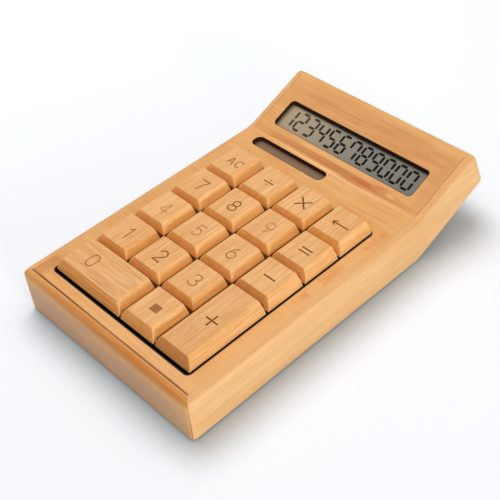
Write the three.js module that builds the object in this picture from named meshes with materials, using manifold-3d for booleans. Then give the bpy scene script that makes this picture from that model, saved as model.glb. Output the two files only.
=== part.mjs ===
// Desktop calculator in bamboo: a glued box of thin panels with a raised display head, eighteen
// bamboo keys on a rubber membrane, a solar cell and a button cell behind a twist cap.
// Millimetres, +X right, +Y towards the display, +Z up, origin under the middle on the table.

import * as THREE from 'three';
import { mergeVertices } from 'three/addons/utils/BufferGeometryUtils.js';
import Module from 'manifold-3d';

// Case
const caseWidth = 106;
const panelWall = 3.5;
const edgeRound = 2.4;
const cornerExtra = 0.6;
const baseThickness = 3;
const creaseFromFront = 134;
const creaseRadius = 22;
const headTilt = THREE.MathUtils.degToRad(21.5);
const headLength = 38.7;
const headDepth = 18.9;
const bendBeforeCrease = 1;
const undersideRadius = 15;
const seamGap = 0.3;
const seatGap = 0.3;

// Openings in the top panel
const wellFromFront = 9.2;
const wellFromSide = 10.1;
const wellFromCrease = 19.5;
const wellCorner = 2;
const windowLip = 2;
const windowFromSide = 11.2;
const windowFromCrease = 6.6;
const windowFromBack = 17.1;
const windowCorner = 2;
const windowOffset = -0.5;
const solarSlotWidth = 44.2;
const solarSlotHeight = 6.5;
const solarSlotCorner = 2.6;
const solarSlotFromCrease = 6.4;

// Keys
const columns = 4;
const rows = 5;
const keyGap = 0.8;
const wellSideGap = 0.7;
const wellFrontGap = 1.2;
const wellBackGap = 0.4;
const keyProud = 5.6;
const keyTravel = 1.2;
const shoulderWidth = 3;
const shoulderDrop = 6.5;
const frontSlope = 2.7;
const backSlope = 0.6;
const stemSide = 6;
const stemClearance = 0.3;
const stemEar = 1.2;
const stemEarHeight = 1.2;

// Key guide plate and its bosses
const guideThickness = 2;
const guideFromWall = 0.6;
const guideBackReach = 5;
const boardBossRadius = 2.8;
const baseBossRadius = 3.1;
const baseBossWallGap = 0.7;
const frontBossFromWell = 4;
const backBossFromWell = 1;

// Membrane, circuit board and chip
const membraneThickness = 1;
const domeRadius = 4.6;
const domeTopRadius = 2.6;
const domeRise = 2.1;
const domeWall = 0.8;
const membraneHoleClearance = 0.6;
const boardThickness = 1.6;
const sheetFromBoss = 0.8;
const sheetFromWell = 1.4;
const boardBackFromCrease = 3;
const chipRadius = 5.5;
const chipHeight = 1.3;
const chipShoulderShare = 0.7;
const chipCell = { column: 1, row: 4 };

// Display
const glassMargin = 3.1;
const glassThickness = 2.2;
const retainerThickness = 1.6;
const retainerFromWall = 2.5;
const retainerFromBack = 1.6;
const retainerLedge = 2.4;
const retainerBossRadius = 3.4;
const retainerScrewFromWall = 11;
const retainerScrewFromEnd = 3.8;
const headBaseScrewFromWall = 19;
const headBaseScrewFromEnd = 12;
const ribbonFromSolarSlot = 4;
const ribbonFromBoardSide = 3.3;
const ribbonThickness = 0.3;
const ribbonOnBoard = 7;
const ribbonSag = 6;

// Solar cell and its leads
const solarCellMargin = 1.6;
const solarCellThickness = 1.1;
const leadRadius = 0.5;
const leadInset = 4;
const leadSpread = 2.5;

// Button cell, its holder and its cap
const cellRadius = 5.8;
const cellHeight = 3.1;
const cellLipHeight = 0.8;
const cellLipWidth = 1.2;
const holderWall = 1.4;
const batteryCell = { column: 2, row: 4 };
const contactThickness = 0.3;
const contactRise = 0.5;
const contactWidth = 3;
const contactFoot = 3.5;
const capRadius = 8.2;
const capClearance = 0.3;
const capNeckRadius = 6.2;
const capLugReach = 1.5;
const capLugThickness = 1;
const capLugWidth = 3;
const capTurn = THREE.MathUtils.degToRad(60);
const coinSlotWidth = 1.8;
const coinSlotLength = 12;
const coinSlotDepth = 1.1;

// Feet and screws
const footRadius = 4.5;
const footProud = 1;
const footSeat = 0.6;
const footFromSide = 16;
const frontFootFromFront = 17;
const backFootFromBend = 14;
const screwClearance = 0.3;
const screw = { shank: 1.1, head: 2.2, headHeight: 0.9 };
const baseScrew = { shank: 1.3, head: 2.7, headHeight: 1.6 };
const panelBite = 2.4;
const bossBite = 6;
const guideScrewShares = [0.32, 0.74];

// How finely round shapes are cut
const roundSteps = 5;
const circleSteps = 16;
const smallCircleSteps = 12;
const bendSteps = 5;

// Levels and places worked out from the sizes above
const halfWidth = caseWidth / 2;
const innerHalf = halfWidth - panelWall;
const overrun = panelWall * 2;
const cornerRound = edgeRound + cornerExtra;
const caseBottom = footProud;
const baseInside = caseBottom + baseThickness;
const capNeckTop = baseInside + seatGap + capLugThickness + seatGap;
const cellLow = capNeckTop + seatGap;
const cellHigh = cellLow + cellHeight;
const negativeLow = cellHigh + seatGap;
const boardBottom = negativeLow + contactThickness + contactRise + seatGap;
const boardTop = boardBottom + boardThickness;
const membraneBottom = boardTop + seatGap;
const membraneTop = membraneBottom + membraneThickness;
const domeTop = membraneTop + domeRise;
const stemBottom = domeTop + seatGap;
const earTop = stemBottom + stemEarHeight;
const guideBottom = earTop + seatGap;
const guideTop = guideBottom + guideThickness;
const panelUnderside = guideTop + seatGap;
const caseTop = panelUnderside + panelWall;
const headCos = Math.cos(headTilt);
const headSin = Math.sin(headTilt);
const caseLength = creaseFromFront + headLength * headCos + headDepth * headSin;
const frontY = -caseLength / 2;
const creaseY = frontY + creaseFromFront;
const bendY = creaseY - bendBeforeCrease;
const wellWidth = caseWidth - 2 * wellFromSide;
const wellFrontY = frontY + wellFromFront;
const wellBackY = creaseY - wellFromCrease;
const keyPitchX = (wellWidth - 2 * wellSideGap + keyGap) / columns;
const keyPitchY = (wellBackY - wellFrontY - wellFrontGap - wellBackGap + keyGap) / rows;
const firstKeyX = -(columns * keyPitchX - keyGap) / 2;
const firstKeyY = wellFrontY + wellFrontGap;

// The middle of a key's place in the grid
function cellCentre(column, row) {
  return [
    firstKeyX + column * keyPitchX + (keyPitchX - keyGap) / 2,
    firstKeyY + row * keyPitchY + (keyPitchY - keyGap) / 2,
  ];
}

// A point of the head's side view: s up the slope from the crease, n in from the sloping face
function headPoint(s, n) {
  return [creaseY + s * headCos + n * headSin, caseTop + s * headSin - n * headCos];
}

const backBottom = headPoint(headLength, headDepth);
const underTilt = Math.atan2(backBottom[1] - caseBottom, backBottom[0] - bendY);

// A point of the head's underside: s up the slope from the bend, n in from the lower face
function underPoint(s, n) {
  const c = Math.cos(underTilt);
  const k = Math.sin(underTilt);
  return [bendY + s * c - n * k, caseBottom + s * k + n * c];
}

const wasm = await Module();
wasm.setup();

const material = (color, roughness, metalness = 0) =>
  new THREE.MeshStandardMaterial({ color, roughness, metalness });
const looks = {
  panelBamboo: material(0xe0a468, 0.55),
  keyBamboo: material(0xeab67c, 0.5),
  blackPlastic: material(0x1b1a19, 0.6),
  rubber: material(0x2a2a2c, 0.85),
  silicone: material(0xb9bcbc, 0.8),
  board: material(0x2f6b3a, 0.5),
  resin: material(0x101112, 0.35),
  displayGlass: material(0x9a9b8a, 0.2),
  solarGlass: material(0x5c4538, 0.2),
  ribbon: material(0xc9a25a, 0.5),
  redLead: material(0xa32020, 0.6),
  blackLead: material(0x151515, 0.6),
  steel: material(0x9c9da0, 0.35, 0.9),
};

// Solids and meshes
function solidOf(geometry) {
  const bare = geometry.index ? geometry.toNonIndexed() : geometry.clone();
  bare.deleteAttribute('normal');
  bare.deleteAttribute('uv');
  const merged = mergeVertices(bare);
  const mesh = new wasm.Mesh({
    numProp: 3,
    vertProperties: new Float32Array(merged.attributes.position.array),
    triVerts: new Uint32Array(merged.index.array),
  });
  mesh.merge();
  return new wasm.Manifold(mesh);
}

function geometryOf(solid) {
  const mesh = solid.getMesh();
  const geometry = new THREE.BufferGeometry();
  geometry.setAttribute('position', new THREE.BufferAttribute(mesh.vertProperties, 3));
  geometry.setIndex(new THREE.BufferAttribute(mesh.triVerts, 1));
  return geometry;
}

// A prism of an outline: along X from (y, z) points, along Y from (x, z), along Z from (x, y)
function prismX(points, low, high) {
  const geometry = new THREE.ExtrudeGeometry(shapeOf(points), { depth: high - low, bevelEnabled: false });
  const basis = new THREE.Matrix4().makeBasis(
    new THREE.Vector3(0, 1, 0), new THREE.Vector3(0, 0, 1), new THREE.Vector3(1, 0, 0));
  return solidOf(geometry.applyMatrix4(basis).translate(low, 0, 0));
}

function prismY(points, low, high) {
  const geometry = new THREE.ExtrudeGeometry(shapeOf(points), { depth: high - low, bevelEnabled: false });
  const basis = new THREE.Matrix4().makeBasis(
    new THREE.Vector3(1, 0, 0), new THREE.Vector3(0, 0, 1), new THREE.Vector3(0, -1, 0));
  return solidOf(geometry.applyMatrix4(basis).translate(0, high, 0));
}

function prismZ(shape, low, high) {
  const geometry = new THREE.ExtrudeGeometry(shape, {
    depth: high - low, bevelEnabled: false, curveSegments: roundSteps,
  });
  return solidOf(geometry.translate(0, 0, low));
}

function shapeOf(points) {
  return new THREE.Shape(points.map(([x, y]) => new THREE.Vector2(x, y)));
}

function box(x0, x1, y0, y1, z0, z1) {
  const geometry = new THREE.BoxGeometry(x1 - x0, y1 - y0, z1 - z0);
  return solidOf(geometry.translate((x0 + x1) / 2, (y0 + y1) / 2, (z0 + z1) / 2));
}

function roundedRectangle(cx, cy, width, height, radius) {
  const left = cx - width / 2;
  const right = cx + width / 2;
  const low = cy - height / 2;
  const high = cy + height / 2;
  const shape = new THREE.Shape();
  shape.moveTo(left + radius, low);
  shape.lineTo(right - radius, low);
  shape.absarc(right - radius, low + radius, radius, -Math.PI / 2, 0, false);
  shape.lineTo(right, high - radius);
  shape.absarc(right - radius, high - radius, radius, 0, Math.PI / 2, false);
  shape.lineTo(left + radius, high);
  shape.absarc(left + radius, high - radius, radius, Math.PI / 2, Math.PI, false);
  shape.lineTo(left, low + radius);
  shape.absarc(left + radius, low + radius, radius, Math.PI, Math.PI * 1.5, false);
  return shape;
}

// A turned solid standing on (x, y): profile points are [radius, z] from the axis round to the axis
function turned(profile, x, y, steps = circleSteps) {
  const points = profile.map(([r, z]) => new THREE.Vector2(r, z));
  const geometry = new THREE.LatheGeometry(points, steps);
  return solidOf(geometry.rotateX(Math.PI / 2).translate(x, y, 0));
}

function cylinder(x, y, radius, low, high, steps = circleSteps) {
  return turned([[0, low], [radius, low], [radius, high], [0, high]], x, y, steps);
}

// A screw that points up, with its head's lower face at the given level
function screwUp(size, length, level, steps = smallCircleSteps) {
  return turned(
    [[0, level], [size.head, level], [size.head, level + size.headHeight], [size.shank, level + size.headHeight],
      [size.shank, level + length], [0, level + length]], 0, 0, steps);
}

function countersunkScrew(size, length, level) {
  return turned(
    [[0, level], [size.head, level], [size.shank, level + size.headHeight], [size.shank, level + length],
      [0, level + length]], 0, 0, smallCircleSteps);
}

function moved(solid, x, y, z = 0) {
  return solid.translate([x, y, z]);
}

// Stands a solid built upright (z = 0 at the outer face, z growing inwards) on a sloping face
function onSlope(solid, tilt, origin) {
  return solid.rotate([THREE.MathUtils.radToDeg(tilt), 0, 0]).translate([0, origin[0], origin[1]]);
}

const calculator = new THREE.Group();

function addPiece(name, solid, look) {
  const piece = new THREE.Mesh(geometryOf(solid), look.clone());
  piece.name = name;
  calculator.add(piece);
}

// The case's side view
function arcPoints(centreY, centreZ, radius, from, to, steps) {
  const points = [];
  for (let i = 0; i <= steps; i += 1) {
    const angle = from + ((to - from) * i) / steps;
    points.push([centreY + radius * Math.sin(angle), centreZ - radius * Math.cos(angle)]);
  }
  return points;
}

const creaseTangent = creaseRadius * Math.tan(headTilt / 2);
const creaseArc = (depth) =>
  arcPoints(creaseY - creaseTangent, caseTop + creaseRadius, creaseRadius + depth, 0, headTilt, bendSteps);
const bendTangent = undersideRadius * Math.tan(underTilt / 2);
const bendArc = arcPoints(bendY - bendTangent, caseBottom + undersideRadius, undersideRadius, 0, underTilt, bendSteps);

function roundedCorner(corner, before, after, radius) {
  const [p, a, b] = [corner, before, after].map(([x, y]) => new THREE.Vector2(x, y));
  const u = a.clone().sub(p).normalize();
  const v = b.clone().sub(p).normalize();
  const half = Math.acos(THREE.MathUtils.clamp(u.dot(v), -1, 1)) / 2;
  const centre = p.clone().add(u.clone().add(v).normalize().multiplyScalar(radius / Math.sin(half)));
  const start = p.clone().add(u.multiplyScalar(radius / Math.tan(half))).sub(centre);
  const sweep = Math.PI - 2 * half;
  const points = [];
  for (let i = 0; i <= roundSteps; i += 1) {
    const ray = start.clone().rotateAround(new THREE.Vector2(), (sweep * i) / roundSteps);
    points.push([centre.x + ray.x, centre.y + ray.y]);
  }
  return points;
}

function upperOutline() {
  const backTop = headPoint(headLength, 0);
  const frontTop = [frontY, caseTop];
  return [
    ...roundedCorner(backTop, headPoint(headLength, headDepth), headPoint(0, 0), cornerRound),
    ...creaseArc(0).reverse(),
    ...roundedCorner(frontTop, [creaseY, caseTop], [frontY, caseBottom], cornerRound),
  ];
}

const exactOutline = [[frontY, caseBottom], ...bendArc, backBottom, ...upperOutline()];
const deepOutline = [
  [frontY, caseBottom - overrun],
  [bendY, caseBottom - overrun],
  headPoint(headLength, headDepth + overrun),
  ...upperOutline(),
];

function roundedBlock() {
  const geometry = new THREE.ExtrudeGeometry(shapeOf(deepOutline), {
    depth: caseWidth - 2 * edgeRound,
    bevelThickness: edgeRound,
    bevelSize: edgeRound,
    bevelOffset: -edgeRound,
    bevelSegments: roundSteps,
  });
  const basis = new THREE.Matrix4().makeBasis(
    new THREE.Vector3(0, 1, 0), new THREE.Vector3(0, 0, 1), new THREE.Vector3(1, 0, 0));
  const rounded = solidOf(geometry.applyMatrix4(basis).translate(edgeRound - halfWidth, 0, 0));
  return rounded.intersect(prismX(exactOutline, -halfWidth, halfWidth));
}

const block = roundedBlock();

// Panels cut from the block, mitred at the upright corners
function mitred(along) {
  return shapeOf([
    [-halfWidth - overrun, along - overrun],
    [halfWidth + overrun, along - overrun],
    [innerHalf, along + panelWall],
    [-innerHalf, along + panelWall],
  ]);
}

const mitreShift = seamGap * Math.SQRT2;
const frontRegion = (shift) => prismZ(mitred(frontY + shift), caseBottom - overrun, caseTop + overrun);
const backRegion = (shift) => {
  const upright = prismZ(mitred(shift), -headDepth - overrun, overrun).rotate([0, 0, 180]);
  return onSlope(upright, headTilt, headPoint(headLength, 0));
};

addPiece('front_panel', block.intersect(frontRegion(0)), looks.panelBamboo);
addPiece('back_panel', block.intersect(backRegion(0)), looks.panelBamboo);

function sidePanel(side) {
  const inner = side * innerHalf;
  const outer = side * (halfWidth + overrun);
  const slab = box(Math.min(inner, outer), Math.max(inner, outer), frontY - overrun, -frontY + overrun,
    caseBottom - overrun, caseTop + headLength + overrun);
  return block.intersect(slab).subtract(frontRegion(mitreShift)).subtract(backRegion(mitreShift));
}

addPiece('left_side_panel', sidePanel(-1), looks.panelBamboo);
addPiece('right_side_panel', sidePanel(1), looks.panelBamboo);

// Top panel with the key well, the solar slot and the display window
const fittedHalf = innerHalf - seamGap;
const topPanelBack = headLength - panelWall - seamGap;
const windowWidth = caseWidth - 2 * windowFromSide;
const windowHeight = headLength - windowFromCrease - windowFromBack;
const windowS = windowFromCrease + windowHeight / 2;
const solarSlotX = windowOffset - windowWidth / 2 + solarSlotWidth / 2;
const solarSlotY = creaseY - solarSlotFromCrease;
const glassWidth = windowWidth + 2 * glassMargin;
const glassHeight = windowHeight + 2 * glassMargin;
const guideScrewX = innerHalf - guideFromWall - screw.head;
const guideFrontY = frontY + panelWall + guideFromWall;
const guideBackY = wellBackY + guideBackReach;
const guideScrewYs = guideScrewShares.map((share) => guideFrontY + (guideBackY - guideFrontY) * share);
const retainerBackS = topPanelBack - retainerFromBack;
const retainerScrewX = innerHalf - retainerScrewFromWall;
const retainerScrewS = retainerBackS - retainerScrewFromEnd;

function inHead(solid, s) {
  return onSlope(solid, headTilt, headPoint(s, 0));
}

function topPanel() {
  const outline = [
    [frontY + panelWall + seamGap, panelUnderside],
    ...creaseArc(panelWall),
    headPoint(topPanelBack, panelWall),
    headPoint(topPanelBack, 0),
    ...creaseArc(0).reverse(),
    [frontY + panelWall + seamGap, caseTop],
  ];
  let panel = prismX(outline, -fittedHalf, fittedHalf);
  const wellMiddle = (wellFrontY + wellBackY) / 2;
  const well = roundedRectangle(0, wellMiddle, wellWidth, wellBackY - wellFrontY, wellCorner);
  panel = panel.subtract(prismZ(well, panelUnderside - overrun, caseTop + overrun));
  const slot = roundedRectangle(solarSlotX, solarSlotY, solarSlotWidth, solarSlotHeight, solarSlotCorner);
  panel = panel.subtract(prismZ(slot, panelUnderside - overrun, caseTop + overrun));
  const cellHalfX = solarSlotWidth / 2 + solarCellMargin + seatGap;
  const cellHalfY = solarSlotHeight / 2 + solarCellMargin + seatGap;
  panel = panel.subtract(box(solarSlotX - cellHalfX, solarSlotX + cellHalfX, solarSlotY - cellHalfY,
    solarSlotY + cellHalfY, panelUnderside - overrun, caseTop - windowLip));
  const window = roundedRectangle(windowOffset, 0, windowWidth, windowHeight, windowCorner);
  panel = panel.subtract(inHead(prismZ(window, -panelWall - overrun, overrun), windowS));
  const glassHalfX = glassWidth / 2 + seatGap;
  const glassHalfY = glassHeight / 2 + seatGap;
  panel = panel.subtract(inHead(box(windowOffset - glassHalfX, windowOffset + glassHalfX, -glassHalfY, glassHalfY,
    -panelWall - overrun, -windowLip), windowS));
  for (const side of [-1, 1]) {
    const pilot = screw.shank + screwClearance;
    const bite = panelBite + screwClearance;
    for (const y of guideScrewYs) {
      panel = panel.subtract(cylinder(side * guideScrewX, y, pilot, panelUnderside - overrun,
        panelUnderside + bite, smallCircleSteps));
    }
    panel = panel.subtract(inHead(
      cylinder(side * retainerScrewX, 0, pilot, -panelWall - overrun, bite - panelWall, smallCircleSteps),
      retainerScrewS));
  }
  return panel;
}

addPiece('top_panel', topPanel(), looks.panelBamboo);

// Base plate under the keyboard, with foot recesses, screw holes and the cap's bayonet hole
const [batteryX, batteryY] = cellCentre(batteryCell.column, batteryCell.row);
const baseScrewX = innerHalf - baseBossWallGap - baseBossRadius;
const baseScrewYs = [wellFrontY + frontBossFromWell, wellBackY + backBossFromWell];
const baseScrewPlaces = baseScrewYs.flatMap((y) => [[-baseScrewX, y], [baseScrewX, y]]);
const footX = halfWidth - footFromSide;
const footPlaces = [frontY + frontFootFromFront, bendY - backFootFromBend].flatMap((y) => [[-footX, y], [footX, y]]);
const capHole = capRadius + capClearance;
const lugRadius = capRadius + capLugReach;

function lugBar(radius, width, low, high) {
  const reach = Math.sqrt(radius * radius - (width * width) / 4);
  return box(-reach, reach, -width / 2, width / 2, low, high);
}

function basePlate() {
  let plate = block.intersect(box(-fittedHalf, fittedHalf, frontY + panelWall + seamGap, bendY - seamGap / 2,
    caseBottom - overrun, baseInside));
  for (const [x, y] of footPlaces) {
    plate = plate.subtract(cylinder(x, y, footRadius + seatGap, caseBottom - overrun, caseBottom + footSeat));
  }
  for (const [x, y] of baseScrewPlaces) {
    const wide = baseScrew.head + screwClearance;
    const narrow = baseScrew.shank + screwClearance;
    plate = plate.subtract(turned(
      [[0, caseBottom - overrun], [wide, caseBottom - overrun], [wide, caseBottom],
        [narrow, caseBottom + baseScrew.headHeight], [narrow, baseInside + overrun], [0, baseInside + overrun]],
      x, y, smallCircleSteps));
  }
  plate = plate.subtract(cylinder(batteryX, batteryY, capHole, caseBottom - overrun, baseInside + overrun));
  const notch = lugBar(lugRadius + capClearance, capLugWidth + 2 * capClearance, caseBottom - overrun,
    baseInside + overrun).rotate([0, 0, -THREE.MathUtils.radToDeg(capTurn)]);
  return plate.subtract(moved(notch, batteryX, batteryY));
}

addPiece('base_plate', basePlate(), looks.panelBamboo);

// Base plate under the head
const headBaseLength = Math.hypot(backBottom[0] - bendY, backBottom[1] - caseBottom);
const headBaseScrewS = headBaseLength - headBaseScrewFromEnd;
const headBaseScrewX = innerHalf - headBaseScrewFromWall;

function onUnderside(solid, s) {
  return onSlope(solid, underTilt, underPoint(s, 0));
}

function headBasePlate() {
  const region = prismX([
    [bendY + seamGap / 2, caseBottom - overrun],
    underPoint(headBaseLength + overrun, -overrun),
    underPoint(headBaseLength + overrun, baseThickness),
    [bendY + seamGap / 2, underPoint(0, baseThickness)[1]],
  ], -fittedHalf, fittedHalf);
  const ahead = prismX([
    headPoint(topPanelBack, -overrun),
    headPoint(-headLength, -overrun),
    headPoint(-headLength, headDepth + headLength),
    headPoint(topPanelBack, headDepth + headLength),
  ], -halfWidth, halfWidth);
  let plate = block.intersect(region).intersect(ahead);
  for (const side of [-1, 1]) {
    const wide = baseScrew.head + screwClearance;
    const narrow = baseScrew.shank + screwClearance;
    plate = plate.subtract(onUnderside(turned(
      [[0, -overrun], [wide, -overrun], [wide, 0], [narrow, baseScrew.headHeight],
        [narrow, baseThickness + overrun], [0, baseThickness + overrun]],
      side * headBaseScrewX, 0, smallCircleSteps), headBaseScrewS));
  }
  return plate;
}

addPiece('head_base_plate', headBasePlate(), looks.panelBamboo);

// Keys: each cap has rounded shoulders, a sloping front and a stem with snap ears for every cell
const keyNames = [
  { name: 'key_0', column: 0, row: 0, wide: 2 },
  { name: 'key_decimal', column: 2, row: 0 },
  { name: 'key_plus', column: 3, row: 0, deep: 2 },
  { name: 'key_1', column: 0, row: 1 },
  { name: 'key_2', column: 1, row: 1 },
  { name: 'key_3', column: 2, row: 1 },
  { name: 'key_4', column: 0, row: 2 },
  { name: 'key_5', column: 1, row: 2 },
  { name: 'key_6', column: 2, row: 2 },
  { name: 'key_minus', column: 3, row: 2 },
  { name: 'key_7', column: 0, row: 3 },
  { name: 'key_8', column: 1, row: 3 },
  { name: 'key_9', column: 2, row: 3 },
  { name: 'key_equals', column: 3, row: 3 },
  { name: 'key_clear', column: 0, row: 4 },
  { name: 'key_divide', column: 1, row: 4 },
  { name: 'key_multiply', column: 2, row: 4 },
  { name: 'key_backspace', column: 3, row: 4 },
];

const cells = [];
for (let row = 0; row < rows; row += 1) {
  for (let column = 0; column < columns; column += 1) {
    cells.push(cellCentre(column, row));
  }
}

// The shoulder is an arc that leaves the flat top at an angle and ends upright
function shoulderPoints(x, outward, top) {
  const start = Math.PI / 2 - 2 * Math.atan2(shoulderWidth, shoulderDrop);
  const radius = shoulderDrop / Math.cos(start);
  const points = [];
  for (let i = 0; i <= roundSteps; i += 1) {
    const angle = start + ((Math.PI / 2 - start) * i) / roundSteps;
    const out = radius * (Math.sin(angle) - Math.sin(start));
    const down = radius * (Math.cos(start) - Math.cos(angle));
    points.push([x + outward * out, top - down]);
  }
  return points;
}

function keySolid({ column, row, wide = 1, deep = 1 }) {
  const x0 = firstKeyX + column * keyPitchX;
  const x1 = x0 + wide * keyPitchX - keyGap;
  const y0 = firstKeyY + row * keyPitchY;
  const y1 = y0 + deep * keyPitchY - keyGap;
  const top = caseTop + keyProud;
  const bottom = guideTop + seatGap + keyTravel;
  const across = [
    [x0, bottom],
    [x1, bottom],
    ...shoulderPoints(x1 - shoulderWidth, 1, top).reverse(),
    ...shoulderPoints(x0 + shoulderWidth, -1, top),
  ];
  const along = [
    [y0, bottom],
    [y1, bottom],
    [y1, top - shoulderDrop],
    [y1 - backSlope, top],
    [y0 + frontSlope, top],
    [y0, top - shoulderDrop],
  ];
  let key = prismY(across, y0, y1).intersect(prismX(along, x0, x1));
  const half = stemSide / 2;
  for (let i = 0; i < wide; i += 1) {
    for (let j = 0; j < deep; j += 1) {
      const [x, y] = cellCentre(column + i, row + j);
      key = key.add(box(x - half, x + half, y - half, y + half, stemBottom, caseTop));
      const ear = half + stemEar;
      key = key.add(box(x - ear, x + ear, y - half, y + half, stemBottom, earTop));
    }
  }
  return key;
}

for (const key of keyNames) {
  addPiece(key.name, keySolid(key), looks.keyBamboo);
}

// Guide plate: a square hole for each stem, bosses for the board and for the base plate's screws
const guideHalf = innerHalf - guideFromWall;
const boardScrewPlaces = [1, rows - 1].flatMap((line) =>
  [1, columns - 1].map((post) => [
    firstKeyX - keyGap / 2 + post * keyPitchX, firstKeyY - keyGap / 2 + line * keyPitchY]));

function guidePlate() {
  let plate = box(-guideHalf, guideHalf, guideFrontY, guideBackY, guideBottom, guideTop);
  for (const [x, y] of boardScrewPlaces) {
    plate = plate.add(cylinder(x, y, boardBossRadius, boardTop + seatGap, guideBottom + guideThickness / 2,
      smallCircleSteps));
  }
  for (const [x, y] of baseScrewPlaces) {
    plate = plate.add(cylinder(x, y, baseBossRadius, baseInside + seatGap, guideBottom + guideThickness / 2,
      smallCircleSteps));
  }
  const half = stemSide / 2 + stemClearance;
  for (const [x, y] of cells) {
    plate = plate.subtract(box(x - half, x + half, y - half, y + half, guideBottom - overrun, guideTop + overrun));
  }
  for (const [x, y] of boardScrewPlaces) {
    plate = plate.subtract(cylinder(x, y, screw.shank + screwClearance, boardTop - overrun,
      boardTop + seatGap + panelBite + screwClearance, smallCircleSteps));
  }
  for (const [x, y] of baseScrewPlaces) {
    plate = plate.subtract(cylinder(x, y, baseScrew.shank + screwClearance, caseBottom,
      baseInside + seatGap + bossBite + screwClearance, smallCircleSteps));
  }
  for (const side of [-1, 1]) {
    for (const y of guideScrewYs) {
      plate = plate.subtract(cylinder(side * guideScrewX, y, screw.shank + screwClearance,
        guideBottom - overrun, guideTop + overrun, smallCircleSteps));
    }
  }
  return plate;
}

addPiece('key_guide_plate', guidePlate(), looks.blackPlastic);

// Rubber membrane: one hollow dome under each stem
const sheetHalf = baseScrewX - baseBossRadius - sheetFromBoss;

function membrane() {
  let sheet = box(-sheetHalf, sheetHalf, wellFrontY + sheetFromWell, wellBackY - sheetFromWell, membraneBottom,
    membraneTop);
  for (const [x, y] of cells) {
    sheet = sheet.add(turned([[0, membraneBottom + domeWall / 2], [domeRadius, membraneBottom + domeWall / 2],
      [domeRadius, membraneTop], [domeTopRadius, domeTop], [0, domeTop]], x, y, smallCircleSteps));
  }
  for (const [x, y] of cells) {
    sheet = sheet.subtract(turned([[0, membraneBottom - overrun], [domeRadius - domeWall, membraneBottom - overrun],
      [domeRadius - domeWall, membraneTop], [domeTopRadius - domeWall, domeTop - domeWall],
      [0, domeTop - domeWall]], x, y, smallCircleSteps));
  }
  for (const [x, y] of boardScrewPlaces) {
    sheet = sheet.subtract(cylinder(x, y, boardBossRadius + membraneHoleClearance, membraneBottom - overrun,
      membraneTop + overrun, smallCircleSteps));
  }
  return sheet;
}

addPiece('key_membrane', membrane(), looks.silicone);

// Circuit board with its screws and the driver chip under a drop of resin
const boardBackY = creaseY - boardBackFromCrease;

function circuitBoard() {
  let board = box(-sheetHalf, sheetHalf, wellFrontY + sheetFromWell, boardBackY, boardBottom, boardTop);
  for (const [x, y] of boardScrewPlaces) {
    board = board.subtract(cylinder(x, y, screw.shank + screwClearance, boardBottom - overrun,
      boardTop + overrun, smallCircleSteps));
  }
  return board;
}

addPiece('circuit_board', circuitBoard(), looks.board);

const chipTop = boardBottom - seatGap;
addPiece('driver_chip', turned([[0, chipTop - chipHeight], [chipRadius * chipShoulderShare, chipTop - chipHeight],
  [chipRadius, chipTop], [0, chipTop]], ...cellCentre(chipCell.column, chipCell.row)), looks.resin);

// Display glass, the retainer behind it and the ribbon to the board
const glassTopDepth = windowLip + seatGap;
const glassBottomDepth = glassTopDepth + glassThickness;
const retainerTop = glassBottomDepth + seatGap;
const retainerBottom = retainerTop + retainerThickness;
const glassFrontS = windowS - glassHeight / 2;

addPiece('display_glass', inHead(box(windowOffset - glassWidth / 2, windowOffset + glassWidth / 2,
  -glassHeight / 2, glassHeight / 2, -glassBottomDepth, -glassTopDepth), windowS), looks.displayGlass);

function retainer() {
  const half = innerHalf - retainerFromWall;
  const frontS = glassFrontS + retainerLedge;
  let frame = inHead(box(-half, half, 0, retainerBackS - frontS, -retainerBottom, -retainerTop), frontS);
  for (const side of [-1, 1]) {
    const spacer = cylinder(side * retainerScrewX, 0, retainerBossRadius, -retainerBottom,
      -panelWall - seatGap, smallCircleSteps);
    frame = frame.add(inHead(spacer, retainerScrewS));
    const gap = baseThickness + seatGap;
    const reach = onUnderside(cylinder(side * headBaseScrewX, 0, baseBossRadius, gap, headDepth + gap,
      smallCircleSteps), headBaseScrewS);
    const below = prismX([
      headPoint(-headLength, retainerBottom - retainerThickness / 2),
      headPoint(-headLength, headDepth * 2),
      headPoint(headLength, headDepth * 2),
      headPoint(headLength, retainerBottom - retainerThickness / 2),
    ], -halfWidth, halfWidth);
    frame = frame.add(reach.intersect(below));
  }
  for (const side of [-1, 1]) {
    frame = frame.subtract(inHead(cylinder(side * retainerScrewX, 0, screw.shank + screwClearance,
      -retainerBottom - overrun, overrun, smallCircleSteps), retainerScrewS));
    frame = frame.subtract(onUnderside(cylinder(side * headBaseScrewX, 0, baseScrew.shank + screwClearance, 0,
      baseThickness + seatGap + headBaseBite + screwClearance, smallCircleSteps), headBaseScrewS));
  }
  return frame;
}

const headBaseBite = bossBite / 2;
addPiece('display_retainer', retainer(), looks.blackPlastic);

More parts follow.
